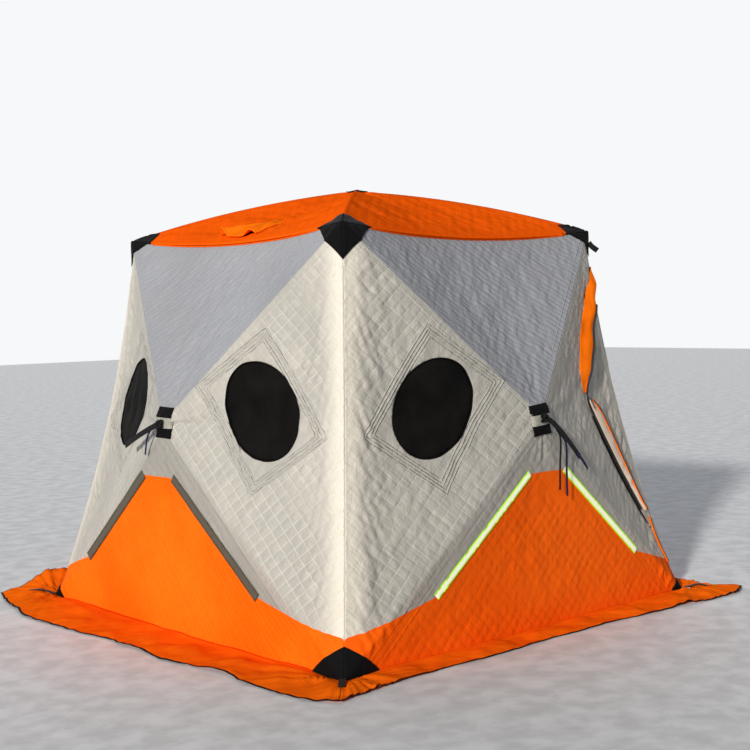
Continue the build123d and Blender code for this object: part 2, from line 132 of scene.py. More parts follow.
def distance(p, line):
    """Distance from points to a polyline, worked out in slices to save memory."""
    a, b = line[:-1], line[1:]
    ab = b - a
    den = (ab ** 2).sum(1) + 1e-12
    out = np.empty(len(p))
    for i in range(0, len(p), 4000):
        q = p[i:i + 4000, None, :] - a[None]
        t = np.clip((q * ab).sum(2) / den, 0, 1)
        out[i:i + 4000] = np.sqrt(((q - t[..., None] * ab) ** 2).sum(2).min(1))
    return out


def rot2(p, deg):
    c, s = math.cos(math.radians(deg)), math.sin(math.radians(deg))
    p = np.asarray(p, float).reshape(-1, 2)
    return np.stack([p[:, 0] * c - p[:, 1] * s, p[:, 0] * s + p[:, 1] * c], 1)


# ---------------------------------------------------------------- the front wall's surface
HUB = arr(0, -REACH, HUB_Z)
PEAK = arr(0, 0, CORNER_Z + RISE)
TC, BC, FT = arr(TOP, -TOP, CORNER_Z), arr(BASE, -BASE, 0), arr(FOOT, -BASE, 0)
PT = HUB + (TC - HUB) * (0.067 / (CORNER_Z - HUB_Z))
PB = HUB + arr(0.045, 0.004, -0.067)
MX = arr(-1, 1, 1)
EDGE = bowed(TC, BC, arr(-BOW, BOW, 0))
TOP_CURVE = bowed(TC * MX, TC, arr(0, PULL, -SAG))
LOW_CURVE = bowed(FT * MX, FT, arr(0, -BULGE, 0))
ROOF_NEAR = PEAK + (TC - PEAK) * (0.060 / TOP)


def ruled(p, near, far, axes):
    """Third coordinate of the ruled patch between two points and a curve, over 2-D points p."""
    i, j, k = axes
    n0, n1 = near

    def rows(u):
        return n0 + (n1 - n0) * u[:, None], bez(far, u)

    def side(u):
        n, f = rows(u)
        return (p[:, 0] - n[:, i]) * (f[:, j] - n[:, j]) - (p[:, 1] - n[:, j]) * (f[:, i] - n[:, i])

    lo, hi = np.zeros(len(p)), np.ones(len(p))
    first = side(lo)
    last = side(hi)
    sign = np.where(np.abs(first) > np.abs(last), np.sign(first), -np.sign(last))
    for _ in range(40):
        mid = (lo + hi) / 2
        past = side(mid) * sign > 0
        lo, hi = np.where(past, mid, lo), np.where(past, hi, mid)
    n, f = rows(lo)
    run = (f - n)[:, [i, j]]
    t = ((p - n[:, [i, j]]) * run).sum(1) / (run ** 2).sum(1)
    return n[:, k] + t * (f - n)[:, k]


def plane_at(p, a, b, c):
    n = np.cross(b - a, c - a)
    return a[1] - (n[0] * (p[:, 0] - a[0]) + n[2] * (p[:, 1] - a[2])) / n[1]


def above(p, a, b):
    """True where a point is above the line from a to b, in elevation."""
    return p[:, 1] > a[2] + (b[2] - a[2]) * (p[:, 0] - a[0]) / (b[0] - a[0])


def wall_y(p):
    q = np.stack([np.abs(p[:, 0]), p[:, 1]], 1)
    up, low = above(q, PT, TC), ~above(q, PB, FT)
    y_side = ruled(q, (PT, PB), EDGE, (0, 2, 1))
    y_side = np.where(above(q, PB, BC), y_side, plane_at(q, PB, BC, FT))
    y = np.where(up, ruled(q, (PT * MX, PT), TOP_CURVE, (0, 2, 1)),
                 np.where(low, ruled(q, (PB * MX, PB), LOW_CURVE, (0, 2, 1)), y_side))
    hub = (q[:, 1] < PT[2]) & (q[:, 1] > PB[2]) & (
        q[:, 0] < PB[0] + (PT[0] - PB[0]) * (q[:, 1] - PB[2]) / (PT[2] - PB[2]))
    dome = -REACH + 0.030 * ((q[:, 1] - HUB_Z) / 0.067).clip(0) ** 2 \
        + 0.004 * ((HUB_Z - q[:, 1]) / 0.067).clip(0) ** 2 + 0.004 * (q[:, 0] / 0.05) ** 2
    return np.where(hub, np.minimum(dome, y), y)


def sag(p):
    """How far the cloth between two poles hangs in (0 to 1)."""
    q = np.stack([np.abs(p[:, 0]), p[:, 1]], 1)
    d = np.minimum(distance(q, np.array([PT, TC])[:, [0, 2]]), distance(q, np.array([PB, FT])[:, [0, 2]]))
    return smooth(d, 0, 0.30) * smooth(np.abs(q[:, 1]), 0, 0.35) * smooth(
        distance(q, bez(EDGE, np.linspace(0, 1, 20))[:, [0, 2]]), 0, 0.20)


def bow_x(z):
    """Half width of the wall at a height."""
    t = 1 - np.asarray(z, float) / CORNER_Z
    return TOP + (BASE - TOP) * t - 4 * BOW * t * (1 - t)


def box_distance(p, side):
    """Signed distance to the stitched rectangle round a window."""
    q = np.abs(rot2(p - arr(side * FRAME_AT[0], FRAME_AT[1]), -side * FRAME_TILT)) - np.array(FRAME_HALF)
    return np.hypot(*np.clip(q, 0, None).T) + np.clip(q.max(1), None, 0)


def ellipse(side, grow=0.0, count=96):
    t = np.linspace(0, 2 * math.pi, count, endpoint=False)
    e = np.stack([(WINDOW["half"][0] + grow) * np.cos(t), (WINDOW["half"][1] + grow) * np.sin(t)], 1)
    return rot2(e, side * WINDOW["tilt"]) + arr(side * WINDOW["at"][0], WINDOW["at"][1])


def lattice(p):
    return np.stack([(p[:, 0] + p[:, 1]), (p[:, 1] - p[:, 0])], 1) / math.sqrt(2) / CELL


def quilt(p):
    s = np.abs(np.sin(math.pi * lattice(p)))
    return (1 - (1 - s) ** 2).prod(1)


def turn(v, wall):
    return v @ np.array(Matrix.Rotation(math.radians(WALLS[wall]), 3, "Z")).T


def lift(p, out=0.0, relief=None):
    """Elevation points to points on the front wall, moved out by out metres."""
    y = wall_y(p)
    v = np.stack([p[:, 0], y, p[:, 1]], 1)
    n = lift_normals(p)
    height = out + (0 if relief is None else relief)
    return v + n * np.reshape(height, (-1, 1))


def lift_normals(p):
    """Smooth outward directions over the wall, so that all that lies on it moves the same way."""
    x, z = p[:, 0], p[:, 1]
    near = 1 - smooth(bow_x(z) - np.abs(x), 0.0, 0.12)
    across = (1 - near) * 0.30 * np.tanh(x / 0.35) + near * np.sign(x)
    n = np.stack([across, -np.ones(len(p)), 0.30 * np.tanh((z - HUB_Z) / 0.25)], 1)
    return n / np.linalg.norm(n, axis=1)[:, None]


# ---------------------------------------------------------------- meshes
def triangulate(outline, holes=(), lines=(), fill=None):
    """Triangles over a 2-D outline. outline and holes are rings, lines are open polylines."""
    pts, edges = [], []

    def add(line, closed):
        start = len(pts)
        pts.extend(line)
        last = len(line) if closed else len(line) - 1
        edges.extend((start + i, start + (i + 1) % len(line)) for i in range(last))

    add(outline, True)
    for hole in holes:
        add(hole, True)
    for line in lines:
        add(line, False)
    if fill is not None and len(fill):
        pts.extend(fill)
    v, _, f, source, _, _ = delaunay_2d_cdt([Vector(q) for q in pts], edges, [], 0, 1e-7)
    v, f = np.array([q[:] for q in v]), np.array(f)
    centre = v[f].mean(1)
    keep = inside(centre, np.asarray(outline))
    for hole in holes:
        keep &= ~inside(centre, np.asarray(hole))
    f = f[keep]
    a, b, c = v[f[:, 0]], v[f[:, 1]], v[f[:, 2]]
    area = (b[:, 0] - a[:, 0]) * (c[:, 1] - a[:, 1]) - (b[:, 1] - a[:, 1]) * (c[:, 0] - a[:, 0])
    f = np.where((area < 0)[:, None], f[:, ::-1], f)[np.abs(area) > 1e-10]
    used = np.unique(f)
    back = np.full(len(v), -1)
    back[used] = np.arange(len(used))
    return v[used], back[f]


def boundary(f):
    e = np.concatenate([f[:, [0, 1]], f[:, [1, 2]], f[:, [2, 0]]])
    key = np.sort(e, 1)
    _, first, count = np.unique(key, axis=0, return_index=True, return_counts=True)
    return e[first[count == 1]]


def grid_points(low, high, keep, clear, step, room):
    """Points of the stitch lattice inside the rings of keep, at least room from the lines in clear."""
    n = int(2.4 / step)
    g = np.arange(-n, n + 1) * step
    a, b = np.meshgrid(g, g)
    a, b = a.ravel(), b.ravel()
    p = np.stack([(a - b), (a + b)], 1) / math.sqrt(2)
    p = p[(p[:, 0] > low[0]) & (p[:, 0] < high[0]) & (p[:, 1] > low[1]) & (p[:, 1] < high[1])]
    p = p[inside(p, keep)]
    for line in clear:
        p = p[distance(p, line) > room]
    return p


def make(name, v, faces, mats, zone=None, layers=None, uvs=None, body="tent"):
    me = bpy.data.meshes.new(name)
    me.from_pydata(np.asarray(v).tolist(), [], [list(map(int, f)) for f in faces])
    for m in (mats if isinstance(mats, (list, tuple)) else [mats]):
        me.materials.append(m)
    if zone is not None:
        me.polygons.foreach_set("material_index", np.asarray(zone, dtype=np.int32))
    me.polygons.foreach_set("use_smooth", [True] * len(me.polygons))
    for key, values in (layers or {}).items():
        layer = me.attributes.new(key, "FLOAT", "POINT")
        layer.data.foreach_set("value", np.asarray(values, dtype=np.float32))
    if uvs is not None:
        index = np.empty(len(me.loops), dtype=np.int32)
        me.loops.foreach_get("vertex_index", index)
        me.uv_layers.new(name="UVMap").data.foreach_set("uv", np.asarray(uvs)[index].ravel())
    me.validate()
    o = bpy.data.objects.new(name, me)
    bpy.context.scene.collection.objects.link(o)
    if body:
        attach(o, body)
    return o


def piece(name, mesh, mats, slot, nodes=(), cut=None, **more):
    """A new piece from (vertices, faces) or (vertices, faces, uvs). slot, its material slot, is not used;
    nodes are the CAD nodes that it stands for; cut, which says of a sheet its flat size, how it is held,
    what it rests on and, where the cut isn't a rectangle, its flat area, is not used."""
    v, f, *uv = mesh
    o = make(name, v, f, mats, uvs=uv[0] if uv else None, **more)
    if nodes:
        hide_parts(*nodes)


def gather(items):
    """Joins several (vertices, faces) or (vertices, faces, uvs) into one (vertices, faces, uvs)."""
    v, f, uv = [], [], []
    for points, faces, *uvs in items:
        at = sum(map(len, v))
        v.append(points)
        f += [[i + at for i in face] for face in faces]
        uv.append(uvs[0] if uvs else np.zeros((len(points), 2)))
    return np.vstack(v), f, np.vstack(uv)


def quads(rows, count, down=False):
    """Faces of a grid of rows with count points each; with down, each face starts down its column."""
    f = []
    for k in range(rows - 1):
        for i in range(k * count, k * count + count - 1):
            f.append([i, i + count, i + count + 1, i + 1] if down else [i, i + 1, i + count + 1, i + count])
    return f


def rod_faces(rings, sides):
    """Faces of a closed rod of rings with a number of sides."""
    f = [[i * sides + k, i * sides + (k + 1) % sides, (i + 1) * sides + (k + 1) % sides, (i + 1) * sides + k]
         for i in range(rings - 1) for k in range(sides)]
    return f + [list(range(sides))[::-1], [(rings - 1) * sides + k for k in range(sides)]]


def shell(p, f, outer, inner):
    """Closed sheet between outer and inner vertex positions of the same triangles."""
    n = len(p)
    rim = boundary(f)
    faces = [list(t) for t in f] + [[a + n, c + n, b + n] for a, b, c in f]
    faces += [[b, a, a + n, b + n] for a, b in rim]
    return np.vstack([outer, inner]), faces


def shell_quads(p, f, out, thick):
    """Closed sheet from an open grid of quads; the second layer lies thick behind, against out."""
    e = {}
    for face in f:
        for a, b in zip(face, face[1:] + face[:1]):
            if (b, a) in e:
                del e[(b, a)]
            else:
                e[(a, b)] = True
    n = len(p)
    a, b, c = p[f[len(f) // 2][0]], p[f[len(f) // 2][1]], p[f[len(f) // 2][2]]
    if np.cross(b - a, c - a).dot(out) < 0:
        f = [q[::-1] for q in f]
        e = {(k[1], k[0]): True for k in e}
    normals = np.zeros((n, 3))
    quad = np.array(f)
    flat = np.cross(p[quad[:, 2]] - p[quad[:, 0]], p[quad[:, 3]] - p[quad[:, 1]])
    for k in range(4):
        np.add.at(normals, quad[:, k], flat)
    normals /= np.maximum(np.linalg.norm(normals, axis=1), 1e-12)[:, None]
    faces = f + [[i + n for i in q[::-1]] for q in f] + [[b, a, a + n, b + n] for a, b in e]
    return np.vstack([p, p - normals * thick]), faces


def taut_area(v, f):
    """Area of a cut that lies taut on the points v, before any quilting, folds or slack."""
    a, b, c = (v[f[:, k]] for k in range(3))
    return float(np.linalg.norm(np.cross(b - a, c - a), axis=1).sum() / 2)


def polygon_area(p):
    """Area of a flat outline."""
    x, y = p[:, 0], p[:, 1]
    return abs(np.dot(x, np.roll(y, -1)) - np.dot(y, np.roll(x, -1))) / 2


# ---------------------------------------------------------------- materials
def rgb(hexa):
    c = [int(hexa[i:i + 2], 16) / 255 for i in (0, 2, 4)]
    return [x / 12.92 if x <= 0.04045 else ((x + 0.055) / 1.055) ** 2.4 for x in c] + [1.0]


def put(tree, socket, value):
    """Links a socket to another, or sets its value."""
    if isinstance(value, bpy.types.NodeSocket):
        tree.links.new(value, socket)
    elif value is not None:
        socket.default_value = value


def add_node(tree, kind, values=(), **props):
    n = tree.nodes.new("ShaderNode" + kind)
    for key, value in props.items():
        setattr(n, key, value)
    for socket, value in zip(n.inputs, values):
        put(tree, socket, value)
    return n


class Nodes:
    """Short calls to put a node material together."""

    def __init__(self, name, **sockets):
        self.m = bpy.data.materials.new(name)
        self.m.use_nodes = True
        self.t = self.m.node_tree
        self.b = self.t.nodes["Principled BSDF"]
        for key, value in sockets.items():
            self.b.inputs[key.replace("_", " ")].default_value = value

    def add(self, kind, values=(), **props):
        return add_node(self.t, kind, values, **props)

    def math(self, op, *values):
        return self.add("Math", values, operation=op).outputs[0]

    def noise(self, vector, scale, detail=2.0, rough=0.5, warp=0.0):
        n = self.add("TexNoise", (vector,))
        n.inputs["Distortion"].default_value = warp
        n.inputs["Scale"].default_value = scale
        n.inputs["Detail"].default_value = detail
        n.inputs["Roughness"].default_value = rough
        return n.outputs["Fac"]

    def wave(self, vector, scale, axis="X", warp=0.0):
        n = self.add("TexWave", (vector,), bands_direction=axis)
        n.inputs["Scale"].default_value = scale
        n.inputs["Distortion"].default_value = warp
        return n.outputs["Fac"]

    def ramp(self, value, low, high, out_low=0.0, out_high=1.0):
        n = self.add("MapRange", (value, low, high, out_low, out_high), interpolation_type="SMOOTHSTEP")
        return n.outputs[0]

    def mix(self, factor, a, b):
        n = self.add("Mix", (factor,), data_type="RGBA")
        put(self.t, n.inputs[6], a)
        put(self.t, n.inputs[7], b)
        return n.outputs[2]

    def bump(self, height, strength, depth, below=None):
        n = self.add("Bump", (strength, depth))
        self.t.links.new(height, n.inputs["Height"])
        if below is not None:
            self.t.links.new(below, n.inputs["Normal"])
        return n.outputs[0]

    def link(self, socket, key):
        self.t.links.new(socket, self.b.inputs[key])

    def attribute(self, key):
        return self.add("Attribute", attribute_name=key).outputs["Fac"]


def shade(c, k):
    return [min(1.0, x * k) for x in c[:3]] + [1.0]


# Sewn lines besides the quilting: mesh attribute, distance at which a line lies, strength. These lines are painted
# lighter, a painted highlight on the ridges that the stitching raises.
STITCHES = [("frame", at, 0.75) for at in (0.001, 0.014, 0.027, 0.040)] + [("hem", at, 0.22) for at in (0.004, 0.025)]


def cloth(name, colour, rough=0.62, sheen=0.0, stitch=0.10, tint=None, edge_highlight=None, weave=900.0, gloss=0.15,
          ripple=None, flatten=0.0, ripple_depth=0.0014, wander=1.0, crease=0.010):
    """Quilted or plain woven cloth. Quilting follows the UV map, one stitch line per unit; ripple names the
    stitch direction (0 or 1) along which the cloth lies in fine folds. The stitch lines, the other sewn
    lines and the crests of the fine folds are painted lighter, as painted highlight, by stitch; the colour
    mixed in near the corner edges is a painted sunlit highlight."""
    n = Nodes(name, Roughness=rough, Sheen_Weight=sheen, Sheen_Roughness=0.45, Specular_IOR_Level=gloss)
    place = n.add("TexCoord").outputs["Object"]
    big = n.noise(place, 2.2, 3)
    small = n.noise(place, 38, 4, 0.6)
    colour_a = n.mix(n.ramp(big, 0.35, 0.68), shade(colour, 0.93), tint or shade(colour, 1.06))
    colour_b = n.mix(n.ramp(small, 0.30, 0.75, 0.0, 0.30), colour_a, shade(colour, 0.80))
    if edge_highlight is not None:
        # Lighter, cream colour near the corner edges: a painted sunlit highlight.
        colour_b = n.mix(n.math("MULTIPLY", n.attribute("edge"), 0.8), colour_b, edge_highlight)
    uv = n.add("UVMap", uv_map="UVMap").outputs[0]
    grain_x = n.wave(uv, weave / 60, "X")
    grain_y = n.wave(uv, weave / 60, "Y")
    weave_h = n.math("ADD", grain_x, grain_y)
    bump = n.bump(weave_h, 0.10, 0.0004)
    bump = n.bump(n.noise(place, 120, 3, 0.6), 0.20, 0.0010, bump)
    bump = n.bump(n.noise(place, 26, 3, 0.55), 0.35, 0.0030, bump)
    if stitch:
        split = n.add("SeparateXYZ", (uv,))
        lines = []
        if ripple is not None:
            drift = n.math("MULTIPLY", n.noise(place, 4, 2), wander)
            across = n.math("MULTIPLY_ADD", split.outputs[1 - ripple], flatten, split.outputs[ripple])
            fold = n.math("SINE", n.math("MULTIPLY", n.math("ADD", across, drift), 3.4 * math.pi))
            # Lighter crests of the fine folds: painted highlight.
            colour_b = n.mix(n.ramp(fold, 0.3, 1.0, 0.0, 0.6 * stitch), colour_b, shade(colour, 1.45))
            bump = n.bump(fold, 0.40, ripple_depth, bump)
        for k in (0, 1):
            away = n.math("PINGPONG", split.outputs[k], 0.5)
            lines.append(n.ramp(away, 0.0, 0.060, 1.0, 0.0))
        if ripple is not None:
            lines[ripple] = n.math("MULTIPLY", lines[1 - ripple], 0.6)
            lines[1 - ripple] = lines[ripple]
        line = n.math("MAXIMUM", lines[0], lines[1])
        line = n.math("MULTIPLY", line, n.attribute("quilt"))
        sewn = line
        for key, at, full in STITCHES:
            away = n.math("ABSOLUTE", n.math("SUBTRACT", n.attribute(key), at))
            line = n.math("MAXIMUM", line, n.ramp(away, 0.0, 0.0045, full, 0.0))
        # The stitch lines are painted lighter: a painted highlight on the ridges that the stitching raises.
        colour_b = n.mix(n.math("MULTIPLY", line, stitch), colour_b, shade(colour, 1.45))
        wide = [n.math("MULTIPLY", split.outputs[k], math.pi) for k in (0, 1)]
        wide = [n.math("POWER", n.math("ABSOLUTE", n.math("SINE", w)), 0.45) for w in wide]
        puff = n.math("MULTIPLY", n.math("MULTIPLY", wide[0], wide[1]), n.attribute("quilt"))
        bump = n.bump(puff, 0.45 if ripple is None else 0.2, 0.0036, bump)
        bump = n.bump(sewn, 0.6, 0.0012, bump)
        bump = n.bump(n.math("SUBTRACT", line, sewn), 1.0, 0.0060, bump)
        for lean, scale, depth in ((0.15, (1.0, 0.20, 1.0), 1.0), (-0.2, (0.25, 1.0, 1.0), 0.8)):
            creases = n.noise(n.add("Mapping", (uv, None, (0, 0, lean), scale)).outputs[0], 1.9, 3, 0.5)
            bump = n.bump(creases, 0.60, crease * depth, bump)
        leant = n.add("Mapping", (place, None, (0.4, 0.3, 0.5), (1.0, 1.0, 0.45))).outputs[0]
        bump = n.bump(n.noise(leant, 24, 3, 0.55, 0.9), 0.60, crease * 0.75, bump)
    n.link(colour_b, "Base Color")
    n.link(bump, "Normal")
    return n.m


def plain(name, colour, rough=0.5, grain=180.0, depth=0.0006, metal=0.0, spread=0.12, **more):
    """Moulded, coated or metal surface with fine grain and slightly uneven colour and gloss."""
    n = Nodes(name, Metallic=metal, **more)
    place = n.add("TexCoord").outputs["Object"]
    big = n.noise(place, 9, 3)
    n.link(n.mix(n.ramp(big, 0.3, 0.7), shade(colour, 1 - spread), shade(colour, 1 + spread)), "Base Color")
    n.link(n.ramp(n.noise(place, 30, 4), 0.2, 0.8, rough * 0.85, rough * 1.15), "Roughness")
    n.link(n.bump(n.noise(place, grain, 3), 0.35, depth), "Normal")
    return n.m


def webbing(name, colour, rough=0.7, edge=None, glow=0.0):
    """Woven tape: ribs across it from the UV map, which runs 0 to 1 across and in metres along."""
    n = Nodes(name, Roughness=rough, Specular_IOR_Level=0.2, Emission_Strength=glow)
    uv = n.add("UVMap", uv_map="UVMap").outputs[0]
    split = n.add("SeparateXYZ", (uv,))
    rib = n.wave(n.add("CombineXYZ", (split.outputs[1], 0.0, 0.0)).outputs[0], 240.0, "X")
    colour_a = n.mix(rib, shade(colour, 0.7), shade(colour, 1.25))
    if edge is not None:
        side = n.math("PINGPONG", split.outputs[0], 0.5)
        colour_a = n.mix(n.ramp(side, 0.12, 0.30), edge, colour_a)
    if glow:
        n.link(colour_a, "Emission Color")
    n.link(colour_a, "Base Color")
    n.link(n.bump(rib, 0.4, 0.0006), "Normal")
    return n.m


def film(name):
    n = Nodes(name, Roughness=0.7, Specular_IOR_Level=0.06)
    place = n.add("TexCoord").outputs["Object"]
    cloud = n.noise(place, 7, 3)
    n.link(n.mix(n.ramp(cloud, 0.3, 0.7), rgb("050505"), rgb("12100e")), "Base Color")
    bump = n.bump(n.noise(place, 60, 3), 0.25, 0.0010)
    n.link(n.bump(n.noise(place, 5, 2), 0.40, 0.0060, bump), "Normal")
    return n.m


GREY, GREY_TINT = rgb("b2afa7"), rgb("bab6ad")
# The top panels are the side panels' cloth, painted darker and bluer: painted shade and painted sky light on panels
# that lean back.
TOP_GREY_SHADED = rgb("9b9da3")
M = {
    # side_a and side_b are one grey cloth: side_a, on the front and back walls, is painted darker as painted shade;
    # side_b, on the left and right walls, is the lit copy.
    "side_a": cloth("cloth_side_shaded", shade(GREY, 0.88), rough=0.5, stitch=0.80,
                    tint=shade(GREY_TINT, 0.88), edge_highlight=rgb("dcd6c6"), gloss=0.4),
    "side_b": cloth("cloth_side_lit", GREY, rough=0.5, stitch=0.80, tint=GREY_TINT, edge_highlight=rgb("e8e2d2"), gloss=0.4),
    "top_a": cloth("cloth_top_a", TOP_GREY_SHADED, stitch=0.22, ripple=0, flatten=0.2, gloss=0.25, crease=0.006),
    "top_b": cloth("cloth_top_b", TOP_GREY_SHADED, stitch=0.22, ripple=1, flatten=0.2, gloss=0.25, crease=0.006),
    "shade": cloth("cloth_shade", shade(GREY, 0.80), rough=0.5, stitch=0.35, gloss=0.35, crease=0.006),
    # The seam binding is side cloth, painted lighter to match the painted sunlit band along the corner edges.
    "welt": plain("seam_binding", rgb("c9c5bb"), rough=0.7, grain=900.0),
    # orange_a and orange_b are one orange cloth: orange_a, on the front and back walls, is painted darker as painted
    # shade; orange_b, on the left and right walls, is the lit copy.
    "orange_a": cloth("cloth_orange_shaded", rgb("ff600a"), stitch=0.62, tint=rgb("ff6a12"), gloss=0.03, crease=0.004),
    "orange_b": cloth("cloth_orange_lit", rgb("ff670a"), stitch=0.35, ripple=0, tint=rgb("ff7412"),
                      gloss=0.03, crease=0.003, ripple_depth=0.0009, wander=0.35),
    "roof": cloth("cloth_roof", rgb("ff600c"), stitch=0.16, gloss=0.0, crease=0.005),
    "skirt": cloth("cloth_skirt", rgb("ff6c0e"), stitch=0, gloss=0.0),
    "black": cloth("cloth_black", rgb("0b0b0c"), rough=0.8, stitch=0, gloss=0.08),
    "flap": cloth("cloth_flap", rgb("ff7510"), rough=0.60, stitch=0, gloss=0.0),
    "beige": cloth("cloth_beige", rgb("d8c6b4"), stitch=0),
    "film": film("window_film"),
    "webbing": webbing("webbing", rgb("09090c")),
    "silver": webbing("silver_patch", rgb("a3a498"), rough=0.45),
    # The two reflective tape materials are one tape: the front and back copy is painted bright and glowing with the
    # light the tape returns, painted light; the left and right copy is painted dull, without that light.
    "tape_lit": webbing("reflective_lit", rgb("fbffd6"), rough=0.35, edge=rgb("a4e022"),
                           glow=0.40),    # stands in for the light that such tape returns
    "tape_unlit": webbing("reflective_unlit", rgb("5b564a"), rough=0.5, edge=rgb("4c4a3c")),
    "plastic": plain("black_plastic", rgb("121213"), rough=0.45),
    "pole": plain("pole_glass_fibre", rgb("2a2a2d"), rough=0.35, Coat_Weight=0.3),
    "metal": plain("eyelet_metal", rgb("b9bbbd"), rough=0.3, metal=1.0, depth=0.0002),
    "cord": webbing("thin_cord", rgb("14183a")),
    "cord_dark": plain("cord_dark", rgb("0d0e18"), rough=0.6, grain=600.0),
    "zip": webbing("zip_tape", rgb("060607"), rough=0.5),
}


# ---------------------------------------------------------------- ribbons and tubes
def frames(path):
    """Unit directions along a path of points."""
    d = np.gradient(path, axis=0)
    return d / np.linalg.norm(d, axis=1)[:, None]


def tube(path, radius, sides=8):
    path = np.asarray(path, float)
    radius = np.broadcast_to(radius, len(path))
    d = frames(path)
    up = np.cross(d[0], [0.3, 0.5, 0.81])
    v = []
    for at, way, r in zip(path, d, radius):
        up = up - way * up.dot(way)
        up /= np.linalg.norm(up)
        other = np.cross(way, up)
        for k in range(sides):
            a = 2 * math.pi * k / sides
            v.append(at + r * (up * math.cos(a) + other * math.sin(a)))
    return np.array(v), rod_faces(len(path), sides)


def ribbon(path, normal, width, thick=0.0018, crown=0.0):
    """Flat strap along a path: its face looks along normal, with rounded edges and its own UVs."""
    path = np.asarray(path, float)
    d = frames(path)
    nrm = np.broadcast_to(np.asarray(normal, float), path.shape)
    width = np.broadcast_to(width, len(path))
    across = np.cross(d, nrm)
    across /= np.linalg.norm(across, axis=1)[:, None]
    nrm = np.cross(across, d)
    profile = [(-0.5, 0.25), (-0.46, 0.5), (-0.2, 0.5), (0.2, 0.5), (0.46, 0.5), (0.5, 0.25),
               (0.5, -0.25), (0.46, -0.5), (-0.46, -0.5), (-0.5, -0.25)]
    run = np.concatenate([[0], np.cumsum(np.linalg.norm(np.diff(path, axis=0), axis=1))])
    v, uv = [], []
    for at, a, n, w, s in zip(path, across, nrm, width, run):
        for x, y in profile:
            v.append(at + a * x * w + n * (y * thick + crown * (1 - 4 * x * x)))
            uv.append((x + 0.5, s))
    return np.array(v), rod_faces(len(path), len(profile)), np.array(uv)


def curve3(points, count=40):
    """Smooth path through 3-D points (Catmull-Rom)."""
    p = [np.asarray(q, float) for q in points]
    p = [2 * p[0] - p[1]] + p + [2 * p[-1] - p[-2]]
    out = []
    spans = len(p) - 3
    for i in range(spans):
        a, b, c, d = p[i:i + 4]
        for t in np.linspace(0, 1, max(2, count // spans), endpoint=i == spans - 1):
            out.append(0.5 * (2 * b + (c - a) * t + (2 * a - 5 * b + 4 * c - d) * t ** 2
                              + (3 * b - a - 3 * c + d) * t ** 3))
    return np.array(out)


# ---------------------------------------------------------------- the four walls
WALL_OUTLINE = np.vstack([
    bez(TOP_CURVE, np.linspace(0, 1, 132))[:, [0, 2]],
    bez(EDGE, np.linspace(0, 1, 150))[1:][:, [0, 2]],
    *[resample(np.array([(a, 0), (b, 0)]), EDGE_STEP)[1:]
      for a, b in ((BASE, FOOT), (FOOT, -FOOT), (-FOOT, -BASE))],
    (bez(EDGE, np.linspace(1, 0, 150)) * MX)[1:-1][:, [0, 2]]])
CREASES = [resample(np.array([(s * a[0], a[2]), (s * b[0], b[2])]), EDGE_STEP)[1:-1]
           for s in (-1, 1) for a, b in ((PT, TC), (PB, FT))]
EDGE_LINE = bez(EDGE, np.linspace(0, 1, 24))[:, [0, 2]]
SIDE_WINDOWS = {"front": (-1,), "left": (-1, 1), "back": (-1, 1), "right": (-1, 1)}

# Where the orange cloth starts: the flat top, along each tape, then out to the corner edge.
TAPE_A, TAPE_B, TOE = arr(0.118, 0.690), arr(0.663, 0.250), arr(1.062, 0.146)
TAPE_SHIFT = {"front": 0.042, "left": -0.064, "back": 0.042, "right": -0.064}


def seam(wall):
    """Corners of the seam between orange and grey, across the whole wall."""
    shift = TAPE_SHIFT[wall]
    half = [(a[0] * s + shift, a[1]) for s, a in ((-1, TAPE_B), (-1, TAPE_A), (1, TAPE_A), (1, TAPE_B))]
    return np.array([TOE * (-1, 1)] + half + [TOE])


def seam_z(wall, x):
    line = seam(wall)
    return np.interp(x, line[:, 0], line[:, 1])


HEAD_Z, SILL_Z = CORNER_Z - 0.215, 0.310
HINGE_A = arr(bow_x(HEAD_Z) - 0.030, HEAD_Z)
HINGE_B = arr(bow_x(SILL_Z) - 0.088, SILL_Z)


def hinge_x(z):
    return HINGE_B[0] + (HINGE_A[0] - HINGE_B[0]) * (z - HINGE_B[1]) / (HINGE_A[1] - HINGE_B[1])


TIP_Z = HUB_Z + 0.034
TIP = arr(hinge_x(TIP_Z) - 0.335, TIP_Z)


def round_corner(a, b, c, radius, count=9):
    """Points of the arc that rounds corner b."""
    u, w = (a - b) / np.linalg.norm(a - b), (c - b) / np.linalg.norm(c - b)
    half = math.acos(u.dot(w)) / 2
    away = radius / math.tan(half)
    mid = b + (u + w) / np.linalg.norm(u + w) * radius / math.sin(half)
    p, q = b + u * away - mid, b + w * away - mid
    out = []
    for t in np.linspace(0, 1, count):
        d = p * (1 - t) + q * t
        out.append(mid + d / np.linalg.norm(d) * radius)
    return out


def doorway(inset, hinge=0.0):
    """Outline of the doorway: inset on its zipped sides, moved by hinge on the hinge side."""
    across = arr(-(HINGE_A - HINGE_B)[1], (HINGE_A - HINGE_B)[0])
    across /= np.linalg.norm(across)
    a, b = HINGE_A + across * hinge, HINGE_B + across * hinge
    centre = (HINGE_A + TIP + HINGE_B) / 3
    lines = []
    for p, q, off in ((HINGE_A, TIP, inset), (TIP, HINGE_B, inset), (b, a, 0)):
        n = arr((q - p)[1], -(q - p)[0])
        n /= np.linalg.norm(n)
        if n.dot(centre - p) < 0:
            n = -n
        lines.append((p + n * off, q + n * off))

    def cross(l, m):
        (p, q), (r, t) = l, m
        return p + (q - p) * np.linalg.solve(np.array([q - p, r - t]).T, r - p)[0]

    a, tip, b = cross(lines[2], lines[0]), cross(lines[0], lines[1]), cross(lines[1], lines[2])
    return np.array(round_corner(b, a, tip, 0.012, 5) + round_corner(a, tip, b, 0.09 - inset, 14)
                    + round_corner(tip, b, a, 0.012, 5))


DOORWAY = ring(doorway(0.0, -HINGE_LAP), EDGE_STEP)


def closed(line):
    return np.vstack([line, line[:1]])


def hand(side):
    return "left" if side < 0 else "right"


